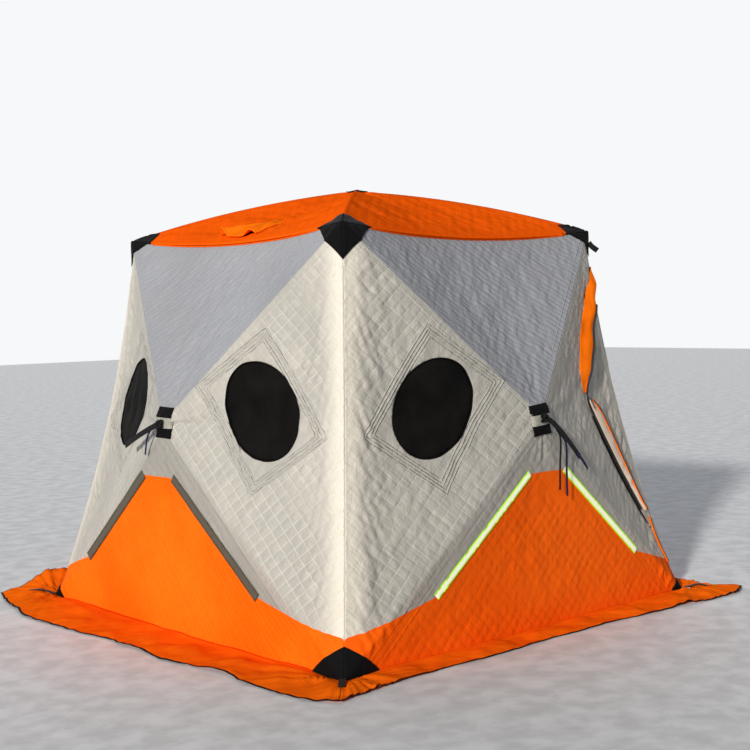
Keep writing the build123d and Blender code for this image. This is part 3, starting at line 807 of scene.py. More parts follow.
def relief(wall, p, plain=False):
    """Height of the cloth over the plain wall surface, how strong its quilting is there, and the
    distance to the stitched frames round the windows. With plain, quilting is left out."""
    seed = 100 + 40 * list(WALLS).index(wall)
    windows = SIDE_WINDOWS[wall]
    rims = [closed(WALL_OUTLINE)] + CREASES
    if wall == "front":
        rims.append(closed(DOORWAY))
    fade = np.min([distance(p, line) for line in rims], axis=0)
    q = np.stack([np.abs(p[:, 0]), p[:, 1]], 1)
    edge = distance(q, EDGE_LINE)
    strength = smooth(fade, 0.004, 0.030) * (0.85 + 0.25 * waves(p, 0.30, seed + 1))
    strength = strength * smooth(edge, 0.045, 0.075)
    frames = np.full(len(p), FAR)
    h = np.zeros(len(p))
    for side in windows:
        d = box_distance(p, side)
        strength = strength * smooth(d, -0.002, 0.006)
        frames = np.where(np.abs(d) < np.abs(frames), -d, frames)
        h += 0.0020 * (np.exp(-(d / 0.005) ** 2) + np.exp(-((d + 0.018) / 0.005) ** 2))
        rim = distance(p, closed(ellipse(side)))
        h -= 0.0030 * np.exp(-(rim / 0.010) ** 2)
    strength = np.clip(strength, 0, 1)
    low = smooth(seam_z(wall, p[:, 0]) - p[:, 1], -0.01, 0.05)
    slack = smooth(fade, 0.0, 0.10) * (1 - 0.55 * low)
    slack = slack * (0.15 + 0.85 * smooth(distance(p, seam(wall)), 0.012, 0.080))
    h += slack * (0.0019 * waves(p, 0.16, seed + 2)
                  + 0.0013 * waves(rot2(p, 20), 0.06, seed + 3, stretch=(1.0, 2.6)))
    if not plain:
        h += 0.0022 * quilt(p) * strength * (1 - 0.6 * low)
    for k, c in enumerate(((0, HUB_Z), (TOP, CORNER_Z), (-TOP, CORNER_Z), (FOOT, 0.02), (-FOOT, 0.02))):
        h += slack * (0.0105 if k > 2 else 0.0065) * spot(p, c, 0.20, 20, seed + 10 + k)
    for side in (-1, 1):
        q = np.stack([p[:, 0] * side - bow_x(p[:, 1]), p[:, 1]], 1)
        h += smooth(fade, 0, 0.05) * 0.0030 * np.exp(-((q[:, 0] + 0.10) / 0.10) ** 2) * waves(
            rot2(q, 28), 0.040, seed + 20 + side, stretch=(1, 4)) * smooth(edge, 0.03, 0.08)
    h += 0.0015 * np.exp(-((fade - 0.008) / 0.005) ** 2)
    h -= 0.014 * sag(p)
    ends = smooth(p[:, 1], 0.0, 0.10), smooth(CORNER_Z - p[:, 1], 0.0, 0.12)
    h -= 0.013 * np.exp(-(edge / 0.042) ** 2) * ends[0] * ends[1]
    return h, strength, frames


def on_wall(wall, p, out=0.0):
    """Points that lie on a wall's cloth, out metres off it."""
    p = np.asarray(p, float).reshape(-1, 2)
    return turn(lift(p, out, relief(wall, p, True)[0]), wall)


SIDE, ORANGE, TOPS, SHADE = range(4)


def skin(wall, outline, holes, lines, keep=None):
    """Closed quilted sheet over part of a wall: (vertices, faces, zones, layers, uvs, area of its cut)."""
    clear = [closed(h) for h in list(holes) + [outline]] + list(lines)
    low, high = outline.min(0), outline.max(0)
    fill = grid_points(low, high, outline, clear, CELL / STEPS, CLEAR)
    p, f = triangulate(outline, holes, lines, fill)
    h, strength, frames = relief(wall, p)
    inner = lift(p, -CLOTH, np.minimum(h, relief(wall, p, True)[0]))
    v, faces = shell(p, f, turn(lift(p, 0, h), wall), turn(inner, wall))
    centre = p[f].mean(1)
    q = np.abs(centre)
    zone = np.where(centre[:, 1] < seam_z(wall, centre[:, 0]), ORANGE,
                    np.where(above(q, PT, TC), TOPS, np.where(~above(q, PB, FT), SHADE, SIDE)))
    zone = np.concatenate([zone, zone, np.zeros(len(faces) - 2 * len(zone), int)])
    # The edge layer is the mask of the painted sunlit highlight along the corner edges.
    edge = np.exp(-(distance(np.abs(p), EDGE_LINE) / 0.075) ** 2)
    hem = np.min([distance(p, c) for c in CREASES], axis=0)
    layers = {"quilt": strength, "frame": frames, "edge": edge, "hem": hem}
    layers = {key: np.tile(values, 2) for key, values in layers.items()}
    return v, faces, zone, layers, np.tile(lattice(p), (2, 1)), taut_area(lift(p), f)


def skin_mats(wall="front"):
    # Front and back walls take the darker copies of the side and orange cloth, painted shade; left and right walls
    # take the lit copies.
    kind = "a" if wall in ("front", "back") else "b"
    return [M["side_" + kind], M["orange_" + kind], M["top_" + kind], M["shade"]]


def wall_skin(wall):
    holes = [ring(ellipse(side), 0.010) for side in SIDE_WINDOWS[wall]]
    if wall == "front":
        holes.append(DOORWAY)
    lines = [resample(seam(wall), EDGE_STEP)[1:-1]] + CREASES
    v, faces, zone, layers, uv, area = skin(wall, WALL_OUTLINE, holes, lines)
    piece(f"{wall}_wall_skin", (v, faces, uv), skin_mats(wall), "cloth_side",
          [f"{wall}_wall_{n}_panel" for n in ("top", "lower", "left", "right")],
          ((2.25, 1.95), "stretched", ["wall_poles"], area), zone=zone, layers=layers)


for wall in WALLS:
    wall_skin(wall)


# ---------------------------------------------------------------- the door
HINGE_MID = (HINGE_A + HINGE_B) / 2
ACROSS = arr(-(HINGE_A - HINGE_B)[1], (HINGE_A - HINGE_B)[0]) / np.linalg.norm(HINGE_A - HINGE_B)


def door_skin():
    outline = ring(doorway(DOOR_GAP, -HINGE_LAP), EDGE_STEP)
    v, faces, _, layers, uv, area = skin("front", outline, [], [])
    o = make("door_skin", v, faces, skin_mats(), np.zeros(len(faces), int), layers, uv, body=None)
    start, end = (lift(HINGE_MID[None] + ACROSS * d)[0] for d in (-HINGE_LAP, HINGE_LAP))
    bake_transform(o)
    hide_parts("door_panel")


door_skin()


# ---------------------------------------------------------------- pieces sewn on the walls
def inner_points(outline, step, lines=()):
    """A square grid of points inside an outline, clear of its edge and of lines."""
    n = (outline.max(0) - outline.min(0)) // step + 1
    g = np.meshgrid(*(outline[:, k].min() + np.arange(1, n[k]) * step for k in (0, 1)))
    p = np.stack([a.ravel() for a in g], 1)
    p = p[inside(p, outline)]
    for line in [closed(outline), *lines]:
        p = p[distance(p, line) > step * 0.45]
    return p


def patch(wall, outline, out, thick, step, crown=0.0, lines=(), flat_uv=None):
    """Closed sheet that lies on a wall inside an outline: (vertices, faces, uvs), and its faces' centres."""
    outline = ring(outline, step)
    p, f = triangulate(outline, [], lines, inner_points(outline, step, lines))
    h = relief(wall, p, True)[0]
    rise = crown * smooth(distance(p, closed(outline)), 0, 0.014)
    v, faces = shell(p, f, turn(lift(p, out + thick + rise, h), wall), turn(lift(p, out, h), wall))
    uv = p if flat_uv is None else flat_uv(p)
    centre = p[f].mean(1)
    rim = np.zeros((len(faces) - 2 * len(f), 2))
    return (v, faces, np.tile(uv, (2, 1))), np.vstack([centre, centre, rim])


def window(wall, side):
    """Film in a window's opening, and the binding round it."""
    outline = ellipse(side, 0.003)
    mesh, _ = patch(wall, outline, -0.0045, 0.001, 0.016)
    piece(f"window_film_{wall}_{hand(side)}", mesh, M["film"], "window_film", ["window_panes"],
          ((0.33, 0.46), "stretched", [f"{wall}_wall_skin"], polygon_area(outline)))
    rim = on_wall(wall, closed(ellipse(side, 0.0, 120)), 0.0005)
    piece(f"window_binding_{wall}_{hand(side)}", tube(rim, 0.0030, 6), M["black"], "cloth_black")


HUB_PATCH = np.array([(-0.058, 0.866), (0.058, 0.866), (0.056, 0.998), (-0.056, 0.998)])


def hub_patch(wall):
    """Black patch over a wall's hub, with a pale bar across its middle."""
    lean = 5 if wall in ("front", "back") else -1
    centre = arr(0, HUB_Z + 0.001)
    drop = arr(0, -0.013 if wall == "front" else 0.0)
    outline = rot2(HUB_PATCH - centre, lean) + centre + drop
    bars = [rot2(np.array([(-0.070, z), (0.070, z)]) - centre, lean) + centre + drop for z in (0.909, 0.954)]
    mesh, mid = patch(wall, outline, 0.0045, 0.0015, 0.0075, crown=0.0015,
                      lines=[resample(b, 0.0075)[2:-2] for b in bars])
    z = rot2(mid - centre - drop, -lean)[:, 1]
    piece(f"{wall}_hub_patch", mesh, [M["black"], M["silver"]], "cloth_black", ["hub_patches"],
          ((0.116, 0.133), "stretched", [f"{wall}_wall_skin"]), zone=np.where(np.abs(z) > 0.0225, 0, 1))


def tape(wall, side):
    """Reflective tape along the seam, with its width across the first UV."""
    shift = arr(TAPE_SHIFT[wall], 0)
    a, b = TAPE_A * (side, 1) + shift, TAPE_B * (side, 1) + shift
    # Front and back walls take the glowing tape with painted light; left and right walls take the dull copy, drawn
    # wider to take in the painted shade of the band beside it.
    kind, half = ("tape_unlit", 0.0215) if wall in ("left", "right") else ("tape_lit", 0.0170)
    way = (b - a) / np.linalg.norm(b - a)
    cross = arr(-way[1], way[0])
    outline = np.array([a - cross * half, b - cross * half, b + cross * half, a + cross * half])
    outline[[0, 3]] -= way * 0.006
    span = lambda p: np.stack([(p - a) @ cross / half / 2 + 0.5, (p - a) @ way], 1)
    mesh, _ = patch(wall, outline, 0.0040, 0.0010, 0.0098, flat_uv=span)
    piece(f"tape_{wall}_{hand(side)}", mesh, M[kind], "reflective_tape", ["reflective_tapes"],
          ((2 * half, 0.706), "stretched", [f"{wall}_wall_skin"]))


for wall, sides in SIDE_WINDOWS.items():
    for side in sides:
        window(wall, side)
for wall in WALLS:
    hub_patch(wall)
for wall in WALLS:
    for side in (-1, 1):
        tape(wall, side)


# Corner patches. Each is drawn on the two walls that meet there; the upper ones also on the roof.
def top_outline(side, reach, drop):
    """Black cloth at a wall's upper corner, in elevation."""
    t = np.linspace(0, 1, 60)
    curve, edge = bez(TOP_CURVE, t)[:, [0, 2]], bez(EDGE, t)[:, [0, 2]]
    along = curve[curve[:, 0] > TOP - reach]
    down = edge[edge[:, 1] > CORNER_Z - drop]
    last, first = down[-1], along[0]
    bend = [last * (1 - s) + first * s + arr(0.003, 0.008) * 4 * s * (1 - s) for s in np.linspace(0.1, 0.9, 9)]
    return np.vstack([along, down[1:], bend]) * (side, 1)


def foot_outline(side, size):
    edge = bez(EDGE, np.linspace(1, 0, 160))[:, [0, 2]]
    up = edge[edge[:, 1] < 0.127 * size]
    tip, last = up[-1], arr(BASE - 0.190 * size, 0.004)
    bend = [tip * (1 - s) + last * s + arr(-0.004, 0.008) * 4 * s * (1 - s) for s in (0.25, 0.5, 0.75)]
    return np.vstack([[(BASE, 0.004)], up[1:], bend, [last]]) * (side, 1)


# ---------------------------------------------------------------- the roof
VENT_AT = rot2([(-0.060, 0.170 - TOP)], -90)[0]


def roof_z(p):
    """Height of the roof cloth at plan points, without quilting."""
    q = np.abs(p)
    far, near = q.max(1), q.min(1)
    flat = np.stack([near, -far], 1)
    z = ruled(flat, (ROOF_NEAR * MX, ROOF_NEAR), TOP_CURVE, (0, 1, 2))
    cap = PEAK[2] + (ROOF_NEAR[2] - PEAK[2]) * far / 0.060
    z = np.where(far < 0.060, cap, z)
    t = np.clip((far - 0.03) / (TOP - 0.03), 0, 1)
    return z + ARCH * 4 * t * (1 - t) * (0.35 + 0.65 * near / np.maximum(far, 1e-6))


def roof_relief(p, plain=False):
    q = np.abs(p)
    ridge = np.abs(q[:, 0] - q[:, 1]) / math.sqrt(2)
    rim = distance(p, closed(ROOF_OUTLINE))
    strength = smooth(ridge, 0.010, 0.035) * smooth(rim, 0.02, 0.05) * 0.8
    h = 0.0030 * np.exp(-(ridge / 0.006) ** 2) * smooth(rim, 0, 0.03)
    h += smooth(rim, 0, 0.12) * smooth(ridge, 0, 0.06) * (
        0.0035 * waves(p, 0.25, 7) + 0.0015 * waves(p, 0.09, 8))
    for k, c in enumerate(((TOP, TOP), (-TOP, TOP), (TOP, -TOP), (-TOP, -TOP), (0, 0))):
        h += smooth(rim, 0, 0.06) * 0.005 * spot(p, c, 0.20, 16, 60 + k)
    for fold, size in (([(-0.640, -0.150), (-0.330, 0.010)], 0.012), ([(-0.620, -0.070), (-0.400, 0.060)], 0.007)):
        h += size * np.exp(-(distance(p, np.array(fold)) / 0.020) ** 2)
    if not plain:
        h += 0.0022 * quilt(p + 0.5 * CELL) * strength
    return h, strength


def on_roof(p, out=0.0):
    p = np.asarray(p, float).reshape(-1, 2)
    return np.stack([p[:, 0], p[:, 1], roof_z(p) + roof_relief(p, True)[0] + out], 1)


ROOF_SIDE = bez(TOP_CURVE, np.linspace(0, 1, 132))[:-1][:, :2]
ROOF_OUTLINE = np.vstack([rot2(ROOF_SIDE, 90 * k) for k in range(4)])


def roof_skin():
    t = np.linspace(0, 2 * math.pi, 40, endpoint=False)
    hole = VENT_AT + 0.040 * np.stack([np.cos(t), np.sin(t)], 1)
    ridges = [rot2(resample(np.array([(0.05, 0.05), (TOP, TOP)]), EDGE_STEP)[:-1], 90 * k) for k in range(4)]
    clear = [closed(ROOF_OUTLINE), closed(hole)] + ridges
    fill = grid_points(ROOF_OUTLINE.min(0), ROOF_OUTLINE.max(0), ROOF_OUTLINE, clear, CELL / STEPS, CLEAR)
    p, f = triangulate(ROOF_OUTLINE, [hole], ridges, fill)
    h, strength = roof_relief(p)
    z = roof_z(p)
    v, faces = shell(p, f, np.column_stack([p, z + h]), np.column_stack([p, z - CLOTH + np.minimum(h, 0)]))
    far = np.full(len(v), FAR)
    layers = {"quilt": np.tile(strength, 2), "frame": far, "edge": np.zeros(len(v)), "hem": far}
    piece("roof_skin", (v, faces, np.tile(lattice(p) + 0.25, (2, 1))), M["roof"], "cloth_orange",
          [f"roof_{w}_panel" for w in WALLS],
          ((1.62, 1.62), "stretched", ["roof_poles"], taut_area(np.column_stack([p, z]), f)), layers=layers)


roof_skin()


def corner_point(number, p):
    """Points drawn at the right front corner, turned to corner 0 to 3."""
    return np.asarray(p) @ np.array(Matrix.Rotation(math.radians(-90 * number), 3, "Z")).T


def roof_patch(outline):
    outline = ring(outline, 0.010)
    p, f = triangulate(outline, [], [], inner_points(outline, 0.010))
    low = on_roof(p, 0.0030)
    return *shell(p, f, low + (0, 0, 0.0015), low), np.tile(p, (2, 1))


def corner_patches(number, here, there):
    """Black cloth over a corner's head and foot; the corner at the front is dressed larger."""
    large = number == 1
    reach, drop, size = (0.178, 0.160, 1.0) if large else (0.158, 0.130, 0.5)
    top = bez(TOP_CURVE, np.linspace(0, 1, 80))[:, :2]
    top = top[top[:, 0] > TOP - reach]
    mirrored = np.stack([-top[:, 1], -top[:, 0]], 1)[::-1]
    inner = [arr(0.700, -0.675), arr(0.728, -0.728), arr(0.675, -0.700)]
    plan = rot2(np.vstack([top, mirrored[1:], inner]), -90 * number)
    rim = bez(TOP_CURVE, np.linspace(0, 1, 160))
    rim = rim[rim[:, 0] > TOP - reach + 0.004]
    head, foot = [], []
    for wall, side in ((here, 1), (there, -1)):
        head.append(patch(wall, top_outline(side, reach, drop), 0.0040, 0.0015, 0.010, crown=0.001)[0])
        foot.append(patch(wall, foot_outline(side, size), 0.0045, 0.0015, 0.010, crown=0.001)[0])
    head.append(roof_patch(plan))
    for roll in (rim, np.column_stack([-rim[:, 1], -rim[:, 0], rim[:, 2]])):
        head.append(tube(corner_point(number, roll) + (0, 0, 0.001), 0.0050))
    piece(f"top_corner_patch_{number + 1}", gather(head), M["black"], "cloth_black",
          ["top_corner_patches", "top_edge_patches", "roof_corner_patches"],
          ((0.30, 0.26), "stretched", ["roof_skin"],
           2 * polygon_area(top_outline(1, reach, drop)) + polygon_area(plan)))
    v, f, uv = gather(foot)
    v[:, 2] = np.maximum(v[:, 2], 0.003)
    piece(f"bottom_corner_patch_{number + 1}", (v, f, uv), M["black"], "cloth_black", ["bottom_corner_patches"],
          ((0.27 * size, 0.12 * size), "stretched", [f"{here}_wall_skin"],
           2 * polygon_area(foot_outline(1, size))))


CORNERS = [("front", "right"), ("left", "front"), ("back", "left"), ("right", "back")]
for number, walls in enumerate(CORNERS):
    corner_patches(number, *walls)

cap = np.array([(-0.038, -0.038), (0.038, -0.038), (0.038, 0.038), (-0.038, 0.038)])
piece("roof_hub_patch", roof_patch(cap), M["black"], "cloth_black",
      cut=((0.076, 0.076), "stretched", ["roof_skin"]))


def roof_welt():
    """Narrow band that closes the seam round the roof, wrapped over the edge of each wall."""
    side = bez(TOP_CURVE, np.linspace(0, 1, 90))
    side = side[np.abs(side[:, 0]) < TOP - 0.150]
    band = []
    for wall in WALLS:
        rows = [on_wall(wall, np.column_stack([side[:, 0], side[:, 2] - drop]), out)
                for drop, out in ((0.0075, 0.0012), (0.0065, 0.0030), (0.0020, 0.0036))]
        rows += [on_roof(turn(side + (0, back, 0), wall)[:, :2], out)
                 for back, out in ((0.004, 0.0034), (0.010, 0.0012))]
        outward = turn(arr(0, -0.8, 0.6), wall)
        band.append(shell_quads(np.vstack(rows), quads(5, len(side)), outward, 0.0014))
    piece("roof_welt", gather(band)[:2], M["roof"], "cloth_orange")


roof_welt()
for number in range(4):
    line = bez(EDGE, np.linspace(0.10, 0.92, 80))
    line = corner_point(number, line + arr(-0.0092, 0.0092, 0) * smooth(CORNER_Z - line[:, 2], 0, 0.12)[:, None])
    piece(f"corner_welt_{number + 1}", tube(line, 0.0022), M["welt"], "cloth_side")


# ---------------------------------------------------------------- the door's trim and the storm flaps
FRONT_OUT = arr(0.20, -0.97, 0.12)      # roughly outward, at the door


def door_run(inset, start=0.05):
    """Points along the two zipped sides, inset from the door's edge, short of the hinge."""
    line = ring(doorway(DOOR_GAP + inset), 0.008)
    keep = (line - HINGE_A) @ ACROSS > start
    first = int(np.argmax(keep & ~np.roll(keep, 1)))
    return np.roll(line, -first, 0)[np.roll(keep, -first)]


def calm(path, reach=9):
    """A path without its short waves; its ends stay."""
    wide = np.vstack([path[:1]] * reach + [path] + [path[-1:]] * reach)
    out = np.array([wide[i:i + 2 * reach + 1].mean(0) for i in range(len(path))])
    keep = smooth(np.minimum(np.arange(len(path)), np.arange(len(path))[::-1]), 0, reach)[:, None]
    return path * (1 - keep) + out * keep


def leaf(name, grid, plan, mat, slot, node, thick, cut, out=FRONT_OUT, down=False, body="tent"):
    """Thin sheet through a grid of points, with its UVs from plan."""
    mesh = shell_quads(grid.reshape(-1, 3), quads(*grid.shape[:2], down), out, thick)
    piece(name, (*mesh, np.tile(plan / UV_UNIT, (2, 1))), M[mat], slot, [node], cut, body=body)


def piping(name, path, radius, beside, cord_radius, body="tent"):
    """Orange piping with a thin black cord sewn along it."""
    piece(name, tube(path, radius), M["flap"], "cloth_orange", body=body)
    piece(name + "_cord", tube(path + arr(beside, 0.0014, 0), cord_radius, 6), M["black"], "cloth_black", body=body)


path = calm(on_wall("front", door_run(-0.001), 0.0060), 4)
piece("zip_tape", ribbon(path, arr(0.22, -0.95, 0.1), 0.018, 0.0020), M["zip"], "black_plastic",
      ["door_zipper"], body="door")

# Wide beige facing on the door's lower free side, with an orange piping on its outer edge.
run = door_run(0.006, 0.030)
low = run[run[:, 1] < TIP[1] - 0.005]
low = low[np.argsort(-low[:, 1])]
way = (low[-1] - low[0]) / np.linalg.norm(low[-1] - low[0])
right = arr(-way[1], way[0])
t = np.linspace(0, 1, len(low))
broad = 0.008 + 0.036 * smooth(t, 0, 0.12) * (1 - 0.90 * smooth(t, 0.40, 1))
rows = [low + right * (0.010 + (broad * k)[:, None]) for k in np.linspace(0, 1, 9)]
rise = [0.007 + 0.012 * math.sin(math.pi * k * 0.60) for k in np.linspace(0, 1, 9)]
grid = np.array([on_wall("front", r, h) for r, h in zip(rows, rise)])
leaf("door_facing", grid, np.vstack(rows), "beige", "cloth_side", "door_panel", 0.0020,
     ((0.046, 0.75), "folded", ["door_skin"], 0.75 * (0.046 + 0.017) / 2), body="door")
piping("door_piping", calm(on_wall("front", rows[-1], 0.0185)), 0.0042, 0.0074, 0.0038, body="door")

# The same piping goes on below the door, along the wall's edge, down to the ground.
foot = np.array([(0.938, 0.375), (0.947, 0.310), (0.963, 0.262),
                 (0.990, 0.212), (1.018, 0.172), (1.036, 0.140)])
piping("seam_piping", calm(on_wall("front", resample(foot, 0.010), 0.0060), 3), 0.0040, 0.0070, 0.0034)

# Storm flap over the upper run: a puffed orange leaf, sewn on its left side.
z = np.linspace(1.590, 0.998, 90)
left = np.interp(z, [0.998, 1.10, 1.20, 1.30, 1.40, 1.50, 1.59],
                 [0.515, 0.508, 0.530, 0.580, 0.640, 0.708, 0.782])
edge_x = TIP[0] + (HINGE_A[0] - TIP[0]) * (z - TIP[1]) / (HINGE_A[1] - TIP[1]) - 0.004
edge_x = np.minimum(edge_x, bow_x(z) - 0.004)
width = np.maximum(edge_x - left, 0.006)
ripple = 0.004 * waves(np.column_stack([z, z * 0]), 0.11, 5)
puff = smooth(width, 0.0, 0.10) * (1 + 18 * ripple) * (1 + 0.35 * np.exp(-((z - 1.47) / 0.06) ** 2))
rows = []
for k in np.linspace(0, 1, 17):
    fall, tuck = max(0, (k - 0.72) / 0.28), max(0, (k - 0.85) / 0.15)
    rise = 0.0035 + 0.038 * puff * math.sin(math.pi / 2 * min(1, k / 0.72)) ** 1.3 - 0.014 * puff * fall ** 2
    across = left + width * (1 - (1 - min(k / 0.85, 1)) ** 1.2) - 0.010 * puff * tuck
    rows.append((np.column_stack([across, z]), rise + ripple * math.sin(math.pi * k)))
grid = np.array([on_wall("front", r, 0) + lift_normals(r) * h[:, None] for r, h in rows])
leaf("storm_flap_upper", grid, np.vstack([r for r, _ in rows]), "flap", "cloth_orange", "storm_flaps", 0.0022,
     ((0.14, 0.66), "folded", ["front_wall_skin"], 0.14 * 0.66 * 2 / 3), down=True)
piece("storm_flap_cord", tube(grid[14][z < 1.40] + (0.0065, -0.0045, 0), 0.0050, 6), M["cord_dark"], "cloth_black")

# Black strip beside the lower run of the zip: painted shade of the dark slit at the zip, together with the zip's own
# black tape.
t = np.linspace(0.11, 0.93, 90)[:, None]
base_line = TIP * (1 - t) + HINGE_B * t
bulge = np.sin(np.linspace(0.15, math.pi - 0.15, 90))[:, None]
rows = [base_line + -right * (0.0095 + k * 0.014 * bulge) for k in np.linspace(0, 1, 6)]
grid = np.array([on_wall("front", r, 0.0028 + 0.006 * math.sin(math.pi * k / 5)) for k, r in enumerate(rows)])
leaf("lower_zip_dark_strip", grid, np.vstack(rows), "black", "cloth_black", "storm_flaps", 0.0016,
     ((0.022, 0.66), "folded", ["front_wall_skin"], 0.022 * 0.66 * 2 / math.pi))


# ---------------------------------------------------------------- skirts on the ice
TIPS = [(-1.285, -1.290), (1.323, -1.300), (1.300, 1.310), (-1.277, 1.345)]
RUNS = {
    "front": [(-1.10, -1.262), (-0.80, -1.245), (-0.45, -1.262), (-0.05, -1.250),
              (0.35, -1.272), (0.75, -1.302), (1.05, -1.340), (1.21, -1.350)],
    "right": [(1.258, -1.190), (1.243, -1.05), (1.275, -0.85), (1.335, -0.60),
              (1.362, -0.20), (1.346, 0.25), (1.360, 0.70), (1.350, 1.10)],
    "back": [(1.05, 1.285), (0.60, 1.268), (0.10, 1.280), (-0.40, 1.265), (-0.85, 1.282), (-1.15, 1.330)],
    "left": [(-1.373, 1.033), (-1.420, 0.754), (-1.418, 0.475), (-1.390, 0.196), (-1.384, -0.082),
             (-1.392, -0.361), (-1.348, -0.640), (-1.372, -0.919), (-1.352, -1.150)],
}


def skirt_z(p, v):
    """Height of the skirt at plan points; v runs from 0 at the wall to 1 at the hem."""
    lump = 0.5 + 0.5 * np.clip(waves(p, 0.26, 300), -1, 1)
    fine = waves(p, 0.075, 301, stretch=(1, 1))
    z = 0.0035 + 0.014 * lump * np.sin(math.pi * np.clip(v * 0.9 + 0.1, 0, 1))
    z = z + 0.0012 * fine * smooth(v, 0.05, 0.4)
    flat = np.ones(len(p))
    for k, (x, y) in enumerate(TIPS):
        corner = arr(math.copysign(BASE, x), math.copysign(BASE, y))
        z = z + 0.013 * np.abs(spot(p, corner, 0.26, 20, 320 + k)) * smooth(v, 0.0, 0.3)
        flat = flat * (1 - np.exp(-(np.hypot(*(p - corner).T) / 0.16) ** 4))
    z = z + 0.006 * smooth(v, 0.75, 1.0) * np.clip(waves(p, 0.30, 340), 0, 1)
    z = z + 0.085 * np.exp(-(np.hypot(p[:, 0] + 0.98, p[:, 1] - 1.31) / 0.17) ** 2) * smooth(v, 0.1, 0.8)
    return np.maximum(z, 0.0028) + 0.009 * np.exp(-v * 9) * flat


def spaced(line, count):
    """Count points evenly spaced along a line."""
    run = np.concatenate([[0], np.cumsum(np.linalg.norm(np.diff(line, axis=0), axis=1))])
    return np.column_stack([np.interp(np.linspace(0, run[-1], count), run, line[:, i]) for i in (0, 1)])


def skirt(k, wall):
    """The skirt of one wall, from the wall's sill out to a wavy hem; TIPS[k] is its first corner."""
    ends = [q + (0,) for q in (TIPS[k], *RUNS[wall], TIPS[(k + 1) % 4])]
    n = 230
    outer = spaced(curve3(ends, 260)[:, :2], n)
    outer += 0.005 * np.stack([waves(outer, 0.30, 350), waves(outer, 0.30, 351)], 1) * smooth(
        np.minimum(np.arange(n), np.arange(n)[::-1]), 0, 12)[:, None]
    sill = np.vstack([(BC * MX)[None, :2], bez(LOW_CURVE, np.linspace(0, 1, 60))[:, :2], BC[None, :2]])
    inner = spaced(sill @ np.array(Matrix.Rotation(math.radians(WALLS[wall]), 2)).T, n)
    v = np.concatenate([np.linspace(0, 0.94, 20), [0.965, 1.0]])
    flat = (inner[None] + (outer - inner)[None] * v[:, None, None]).reshape(-1, 2)
    f = quads(len(v), n, True)
    top = np.column_stack([flat, skirt_z(flat, np.repeat(v, n))])
    vv, ff = shell_quads(top, f, arr(0, 0, 1), 0.0016)
    vv[:, 2] = np.maximum(vv[:, 2], 0.0004)
    hem = np.repeat(np.arange(len(v) - 1), n - 1) == len(v) - 2
    zone = np.concatenate([hem, hem, np.ones(len(ff) - 2 * len(f))]).astype(int)
    piece(f"{wall}_skirt_cloth", (vv, ff, np.tile(flat / UV_UNIT, (2, 1))), [M["skirt"], M["black"]],
          "cloth_orange", [f"{wall}_skirt"],
          ((2.70, 0.30), "laid", [], polygon_area(np.vstack([inner, outer[::-1]]))), zone=zone)


for k, wall in enumerate(("front", "right", "back", "left")):
    skirt(k, wall)


# ---------------------------------------------------------------- straps
# Each strap: name, width, material, thickness, share of the width at the tip, points from the hub down.
STRAPS_FRONT = [
    ("pull_strap_front", 0.025, "webbing", 0.0020, 1.0,
     [(0.004, -1.172, 0.930), (0.050, -1.182, 0.900), (0.130, -1.180, 0.835), (0.240, -1.168, 0.738)]),
    ("pull_strap_front_end", 0.015, "cord", 0.0016, 0.7,
     [(0.215, -1.1725, 0.758), (0.262, -1.168, 0.718), (0.306, -1.160, 0.677)]),
    ("strap_tail_front_a", 0.012, "webbing", 0.0016, 1.0,
     [(0.070, -1.177, 0.880), (0.090, -1.184, 0.830), (0.090, -1.180, 0.720), (0.097, -1.172, 0.607)]),
    ("strap_tail_front_b", 0.013, "cord", 0.0016, 1.0,
     [(0.100, -1.177, 0.855), (0.128, -1.184, 0.800), (0.134, -1.180, 0.690), (0.149, -1.170, 0.576)]),
]
STRAPS_PLAIN = [
    ("pull_strap_", 0.026, "webbing", 0.0020, 1.0,
     [(-0.004, -1.172, 0.930), (-0.100, -1.182, 0.891), (-0.190, -1.180, 0.855), (-0.290, -1.168, 0.815)]),
    ("strap_tail_", 0.013, "cord", 0.0016, 1.0,
     [(-0.050, -1.178, 0.912), (-0.085, -1.182, 0.865), (-0.122, -1.172, 0.786)]),
]


def strap(name, wall, width, mat, thick, tip, points):
    path = curve3(points, 60)
    w = np.interp(np.linspace(0, 1, len(path)), [0, 0.6, 1], [width, width, width * tip])
    v, f, uv = ribbon(path, (0.0, -1.0, 0.12), w, thick)
    piece(name, (turn(v, wall), f, uv), M[mat], "webbing", ["pull_straps"])


def knot(wall):
    """Two crossed loops of webbing over the hub's bolt."""
    a = np.linspace(0, 2 * math.pi, 40)
    at = arr(0.0, -REACH - 0.008, HUB_Z - 0.004)
    parts = []
    for lean, grow in ((35, 1.0), (-50, 0.85)):
        x, z = 0.020 * grow * np.cos(a), 0.012 * grow * np.sin(a)
        y = -0.009 + 0.0075 * np.sin(2 * a + 0.6)
        c, s = math.cos(math.radians(lean)), math.sin(math.radians(lean))
        turned = np.stack([x * c - z * s, y, x * s + z * c], 1)
        parts.append(ribbon(turned + at, (0, -1, 0), 0.011, 0.0030))
    v, f, uv = gather(parts)
    piece(f"strap_knot_{wall}", (turn(v, wall), f, uv), M["webbing"], "webbing", ["pull_straps"])


def anchor_strap(number):
    """Strap along the diagonal on the skirt, from the foot of a corner."""
    d = np.linspace(0.0, 0.132, 24)
    p = np.column_stack([(BASE + 0.003 + d / math.sqrt(2)), -(BASE + 0.003 + d / math.sqrt(2))])
    p = rot2(p, -90 * number)
    z = np.maximum(np.array([skirt_z(q[None], arr(t))[0] for q, t in zip(p, d / 0.27)]), 0.0052) + 0.0030
    z += 0.010 * np.sin(math.pi * d / 0.132)
    piece(f"anchor_strap_cloth_{number + 1}", ribbon(np.column_stack([p, z]), (0, 0, 1), 0.025, 0.0030),
          M["webbing"], "webbing", ["anchor_straps"])


